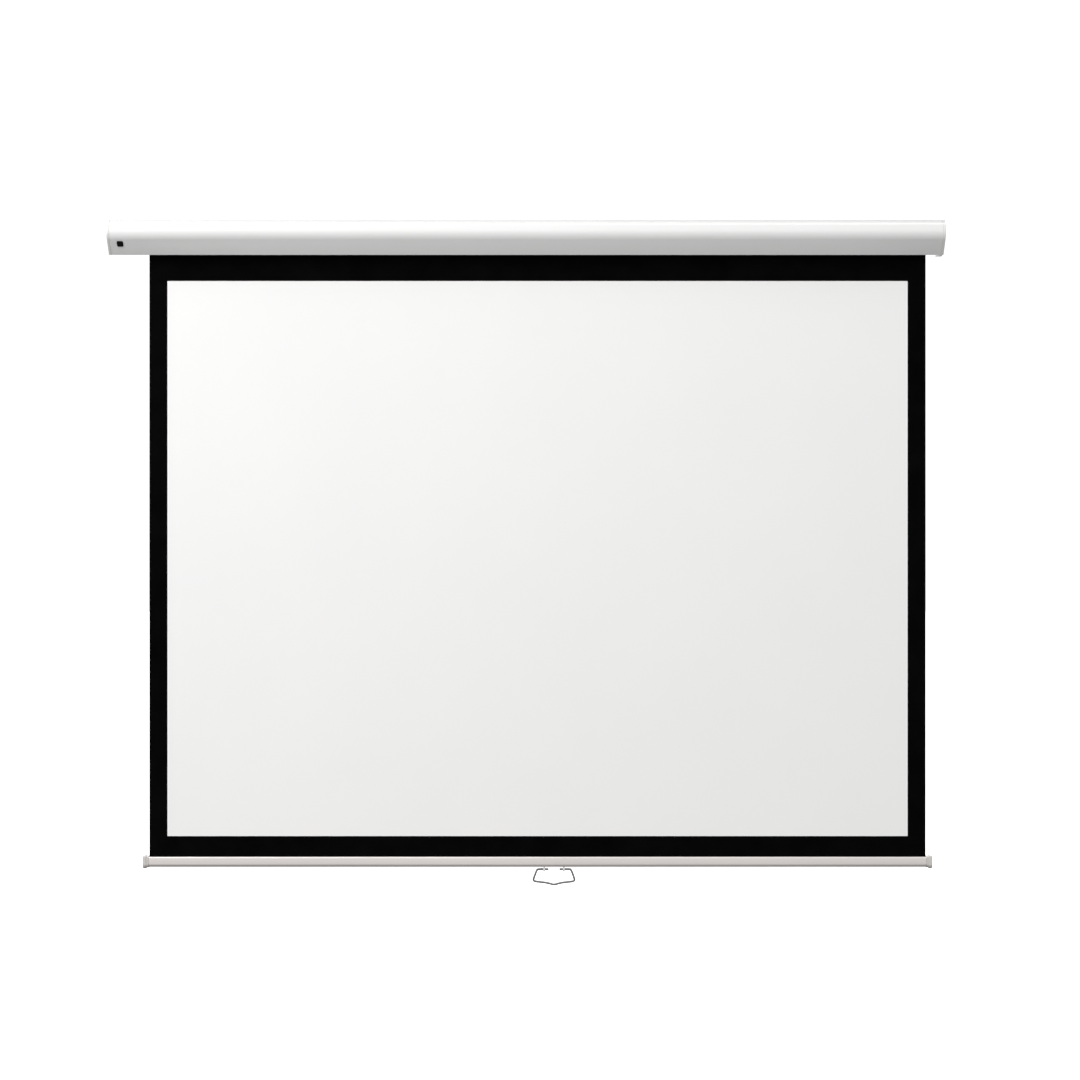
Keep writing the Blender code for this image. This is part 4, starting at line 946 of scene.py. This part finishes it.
def bar_outline(grow):
    """The bar's closed outline, grown outwards."""
    depth, top = BAR_HALF_DEPTH + grow, BAR_Z + BAR_HALF_HEIGHT + grow
    keel = (0, BAR_Z - BAR_HALF_HEIGHT + BAR_KEEL)
    half = arc((BAR_CORNER - depth, top - BAR_CORNER), (BAR_CORNER, BAR_CORNER), 90, 180, 8)
    half += arc(keel, (depth, BAR_KEEL + grow), 180, 270, 20)
    front = [(CLOTH_Y + y, z) for y, z in half]
    rear = [(CLOTH_Y - y, z) for y, z in half]
    return front + rear[-2::-1]


def part_above(points, level):
    """The part of a convex outline that lies above a height."""
    kept = []
    for (y0, z0), (y1, z1) in zip(points, points[1:] + points[:1]):
        if z0 >= level:
            kept.append((y0, z0))
        if (z0 - level) * (z1 - level) < 0:
            kept.append((y0 + (y1 - y0) * (level - z0) / (z1 - z0), level))
    return kept


bar = run_along("weight_bar", bar_outline(0), BAR_LOW.x, BAR_HIGH.x)
web_top, web_base = BAR_Z + WEB_RISE + BAR_WALL / 2, BAR_Z + WEB_RISE - BAR_WALL / 2
inner = bar_outline(-BAR_WALL)
low_x, high_x = BAR_LOW.x - PAST, BAR_HIGH.x + PAST
upper = part_above(inner, web_top)
lower = [(y, -z) for y, z in part_above([(y, -z) for y, z in inner], -web_base)]
cut_or_join(bar, run_along("upper_channel", upper, low_x, high_x), 'DIFFERENCE')
cut_or_join(bar, run_along("lower_channel", lower, low_x, high_x), 'DIFFERENCE')
cut_or_join(bar, block("top_slot", (low_x, CLOTH_Y - HEM_SLOT_HALF, BAR_HIGH.z - 2 * BAR_WALL),
                       (high_x, CLOTH_Y + HEM_SLOT_HALF, BAR_HIGH.z + PAST)), 'DIFFERENCE')
cut_or_join(bar, block("keel_slot", (low_x, CLOTH_Y - CLIP_SLOT_HALF, BAR_LOW.z - PAST),
                       (high_x, CLOTH_Y + CLIP_SLOT_HALF, BAR_LOW.z + 2 * BAR_WALL)), 'DIFFERENCE')
dress(bar, bar_aluminium, "bar", "satin_aluminium", "bottom_bar", crease=24)

# %% [markdown]
# The bar's plastic end caps are a little taller than the bar, with soft rounded heads on a
# narrower neck, and a spigot that plugs into the channel.

# %% Bar end caps
NECK_LENGTH = 0.005
HEAD_LENGTH = 0.0085
NECK_GROW = 0.0012
HEAD_GROW = 0.0032
HEAD_ROUND = 0.0022
SPIGOT_LENGTH = 0.012
SPIGOT_HEIGHT = 0.004
for side, label in ((-1, "left"), (1, "right")):
    end = CLOTH_X + side * (BAR_HIGH.x - CLOTH_X + GAP)
    neck, head = end + side * NECK_LENGTH, end + side * (NECK_LENGTH + HEAD_LENGTH)
    half_head = neck + side * HEAD_LENGTH / 2
    cap = run_along(label + "_bar_end", bar_outline(HEAD_GROW), *sorted((neck, head)))
    round_rims(cap, HEAD_ROUND, segments=6, limit=60)
    neck_piece = run_along("neck", bar_outline(NECK_GROW), *sorted((end, half_head)))
    cut_or_join(cap, neck_piece, 'UNION')
    half = BAR_HALF_DEPTH - BAR_WALL - 2 * GAP
    ends = sorted((end - side * SPIGOT_LENGTH, half_head))
    spigot = block("spigot", (ends[0], CLOTH_Y - half, web_base - GAP - SPIGOT_HEIGHT),
                   (ends[1], CLOTH_Y + half, web_base - GAP))
    cut_or_join(cap, spigot, 'UNION')
    dress(cap, bar_end_plastic, "bar", "grey_nylon", label + "_bar_cap", crease=40)

# %% [markdown]
# Two white clips hang in the bar's lower channel and the wire handle turns in their eyes.
# The handle's line is drawn through a few points and smoothed into one bend after another,
# as a wire is formed, and a round section is swept along it.

# %% Handle clips and wire
HANDLE_X = 0.0639
HANDLE_Z = -1.4545
HANDLE_WIRE = 0.0025
CLIP_EYE = HANDLE_WIRE + GAP
CLIP_WALL = 0.0016
CLIP_NECK_HALF = 0.002
CLIP_FOOT_HALF = 0.0045
CLIP_FOOT_HEIGHT = 0.002
CLIP_RIM = 0.00035
for side, label in ((-1, "left"), (1, "right")):
    low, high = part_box(label + "_handle_clip")
    foot_base = high.z - CLIP_FOOT_HEIGHT
    clip = rod(label + "_clip", CLIP_EYE + CLIP_WALL, (low.x, CLOTH_Y, HANDLE_Z),
               (high.x, CLOTH_Y, HANDLE_Z))
    neck = block("clip_neck", (low.x, CLOTH_Y - CLIP_NECK_HALF, HANDLE_Z),
                 (high.x, CLOTH_Y + CLIP_NECK_HALF, foot_base + CLIP_FOOT_HEIGHT / 2))
    foot = block("clip_foot", (low.x, CLOTH_Y - CLIP_FOOT_HALF, foot_base),
                 (high.x, CLOTH_Y + CLIP_FOOT_HALF, high.z))
    cut_or_join(clip, neck, 'UNION')
    cut_or_join(clip, foot, 'UNION')
    round_rims(clip, CLIP_RIM, segments=2, limit=40)
    eye = rod("clip_eye", CLIP_EYE, (low.x - PAST, CLOTH_Y, HANDLE_Z),
              (high.x + PAST, CLOTH_Y, HANDLE_Z))
    cut_or_join(clip, eye, 'DIFFERENCE')
    dress(clip, clip_plastic, "handle_clips", "white_plastic", label + "_handle_clip", crease=40)


def smooth_line(points, steps):
    """A line that bends smoothly through its points."""
    padded = [points[0]] + points + [points[-1]]
    line = []
    for p0, p1, p2, p3 in zip(padded, padded[1:], padded[2:], padded[3:]):
        for step in range(steps):
            t = step / steps
            line.append(0.5 * (2 * p1 + (p2 - p0) * t + (2 * p0 - 5 * p1 + 4 * p2 - p3) * t * t
                               + (3 * p1 - p0 - 3 * p2 + p3) * t ** 3))
    return line + [points[-1]]


HANDLE_SHAPE = [(0.0125, 0), (0.035, 0), (0.0393, 0.00225), (0.0427, 0.00984),
                (0.0466, 0.02091), (0.0472, 0.0246), (0.0427, 0.02795), (0.020, 0.0308),
                (0.010, 0.03295), (0, 0.0352)]
left_half = [Vector((HANDLE_X - x, CLOTH_Y, HANDLE_Z - drop)) for x, drop in HANDLE_SHAPE]
right_half = [Vector((HANDLE_X + x, CLOTH_Y, HANDLE_Z - drop)) for x, drop in HANDLE_SHAPE[-2::-1]]
handle_line = smooth_line(left_half + right_half, 6)
curve = bpy.data.curves.new("handle_line", 'CURVE')
curve.dimensions = '3D'
curve.bevel_depth = HANDLE_WIRE
curve.bevel_resolution = 5
curve.use_fill_caps = True
spline = curve.splines.new('POLY')
spline.points.add(len(handle_line) - 1)
for point, place in zip(spline.points, handle_line):
    point.co = (*place, 1)
drawn = bpy.data.objects.new("handle_line", curve)
bpy.context.scene.collection.objects.link(drawn)
bpy.context.view_layer.update()
graph = bpy.context.evaluated_depsgraph_get()
handle_mesh = bpy.data.meshes.new_from_object(drawn.evaluated_get(graph))
bpy.data.objects.remove(drawn)
work = bmesh.new()
work.from_mesh(handle_mesh)
bmesh.ops.remove_doubles(work, verts=work.verts, dist=1e-6)
bmesh.ops.recalc_face_normals(work, faces=work.faces)
handle = new_piece("wire_handle", work)
dress(handle, wire_skin, "bail", "grey_wire", "handle_bail", crease=60)

# %% [markdown]
# The cloth hangs taut from the roller to the bar. Its fine grid carries a slight billow, well
# under a millimetre, because no hung cloth is a perfect plane, and the white coat follows
# the same billow just in front of it. A few turns stay wound on the roller as a spiral, and
# the hem loops round a rod.


# %% Cloth sheets
BILLOW = 0.00035
CLOTH_TOP, CLOTH_BASE = -0.06, BAR_HIGH.z


def billow(x, z):
    """How far the hung cloth stands forward of its plane; nothing at its two held edges."""
    held = max(0.0, math.sin(math.pi * (z - CLOTH_BASE) / (CLOTH_TOP - CLOTH_BASE)))
    wave = math.sin(5.3 * x + 0.7) + 0.6 * math.sin(11.7 * x - 2.1 + 1.9 * z)
    return BILLOW * wave * math.sqrt(held)


def hung_sheet(name, low, high, columns, rows):
    """A thin closed sheet between two corners, on a grid that follows the billow."""
    work = bmesh.new()
    layers = []
    for y in (low.y, high.y):
        grid = []
        for row in range(rows + 1):
            z = low.z + (high.z - low.z) * row / rows
            line = []
            for column in range(columns + 1):
                x = low.x + (high.x - low.x) * column / columns
                line.append(work.verts.new((x, y - billow(x, z), z)))
            grid.append(line)
        layers.append(grid)
    front, back = layers
    for r in range(rows):
        for c in range(columns):
            work.faces.new((front[r][c], front[r][c + 1], front[r + 1][c + 1], front[r + 1][c]))
            work.faces.new((back[r][c], back[r + 1][c], back[r + 1][c + 1], back[r][c + 1]))
    for r in range(rows):
        work.faces.new((front[r][0], front[r + 1][0], back[r + 1][0], back[r][0]))
        work.faces.new((front[r][-1], back[r][-1], back[r + 1][-1], front[r + 1][-1]))
    for c in range(columns):
        work.faces.new((front[0][c], back[0][c], back[0][c + 1], front[0][c + 1]))
        work.faces.new((front[-1][c], front[-1][c + 1], back[-1][c + 1], back[-1][c]))
    bmesh.ops.recalc_face_normals(work, faces=work.faces)
    return new_piece(name, work)


backing_low, backing_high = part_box("black_backing")
white_low, white_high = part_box("viewing_surface")
backing = hung_sheet("black_screen_cloth", backing_low, backing_high, 150, 120)
white = hung_sheet("white_picture_coat", white_low, white_high, 150, 110)
dress(backing, black_cloth, "casing", "black_cloth", "black_backing", crease=50)
dress(white, white_coat, "casing", "white_cloth", "viewing_surface", crease=50)
drop = backing_high.z - backing_low.z
for cloth in (backing, white):
    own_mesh(cloth)

# %% Wound turns and hem
TURNS = 2
TURN_STEPS = 64
CLOTH_THICK = 0.0004
ROLL_INSIDE, ROLL_OUTSIDE = 0.0193, 0.0206
HEM_OUTER, HEM_INNER = 0.0032, 0.0023
wraps_low, wraps_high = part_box("fabric_wraps")
line = []
for step in range(TURNS * TURN_STEPS + 1):
    turn = step / TURN_STEPS
    growth = (ROLL_OUTSIDE - ROLL_INSIDE - CLOTH_THICK) * turn / TURNS
    radius = ROLL_INSIDE + CLOTH_THICK / 2 + growth
    angle = 2 * math.pi * turn
    line.append((ROLLER_Y + radius * math.cos(angle), ROLLER_Z + radius * math.sin(angle)))
ribbon = offset_line(line, -CLOTH_THICK / 2) + offset_line(line, CLOTH_THICK / 2)[::-1]
wound = run_along("wound_cloth", ribbon, wraps_low.x, wraps_high.x)
dress(wound, black_cloth, "roller", "black_cloth", "fabric_wraps", crease=50)
hem_low, hem_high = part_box("fabric_hem")
hem_z = (hem_low.z + hem_high.z) / 2
hem = rod("hem_loop", HEM_OUTER, (hem_low.x, CLOTH_Y, hem_z), (hem_high.x, CLOTH_Y, hem_z), 40)
bore = rod("hem_bore", HEM_INNER, (hem_low.x - PAST, CLOTH_Y, hem_z),
           (hem_high.x + PAST, CLOTH_Y, hem_z), 40)
cut_or_join(hem, bore, 'DIFFERENCE')
dress(hem, black_cloth, "bar", "black_cloth", "fabric_hem", crease=50)

# %% [markdown]
# Folded plates, brackets, pawls and the roller's plugs already have their true shape in the
# CAD. A merged copy of each gets eased edges and smooth round faces, and stands for its
# node. The slender parts that never show keep the CAD mesh and take the new finish.


# %% Eased copies of CAD pieces
EASE = 0.0003


def eased_copy(node, finish):
    """A merged copy of a CAD node with rounded edges, in the node's place."""
    source = frame["nodes"][node]
    work = bmesh.new()
    work.from_mesh(source.data)
    bmesh.ops.remove_doubles(work, verts=work.verts, dist=1e-6)
    bmesh.ops.dissolve_limit(work, angle_limit=math.radians(0.5), verts=work.verts,
                             edges=work.edges)
    piece = new_piece("eased_" + node, work)
    round_rims(piece, EASE, segments=2, limit=40)
    dress(piece, finish, source["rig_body"], SLOTS[node], node)


SLOTS = {row["node"]: row["material_slot"] for row in frame["record"]["subparts"]}
FINISH_OF = {
    "steel": zinc_steel, "spring_steel": spring_wire_steel, "brass": turned_brass,
    "satin_aluminium": roller_aluminium, "grey_nylon": grey_nylon, "white_plastic": white_nylon,
}
EASED = ("left_wall_bracket", "right_wall_bracket", "left_end_plate", "right_end_plate",
         "roller_tube", "left_roller_plug", "right_roller_plug", "ratchet_hub", "pawl_a", "pawl_b")
KEPT = ("spring_spindle", "spindle_bush", "spring_collar", "spring_anchor_plug", "idle_pin",
        "bearing_bush", "pawl_pin_a", "pawl_pin_b", "hem_spline")
for node in EASED:
    eased_copy(node, FINISH_OF[SLOTS[node]])
for node in KEPT:
    mesh = frame["nodes"][node].data
    mesh.materials.clear()
    mesh.materials.append(FINISH_OF[SLOTS[node]])
print(len(EASED), "eased and", len(KEPT), "refinished")

# %% Sizes of the CAD frame and the dressed scene
seen_low, seen_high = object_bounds()
sizes = {"cad": [list(cad_low), list(cad_high)], "visual": [list(seen_low), list(seen_high)]}
for row, corners in sizes.items():
    print(row, [[round(v, 4) for v in corner] for corner in corners])
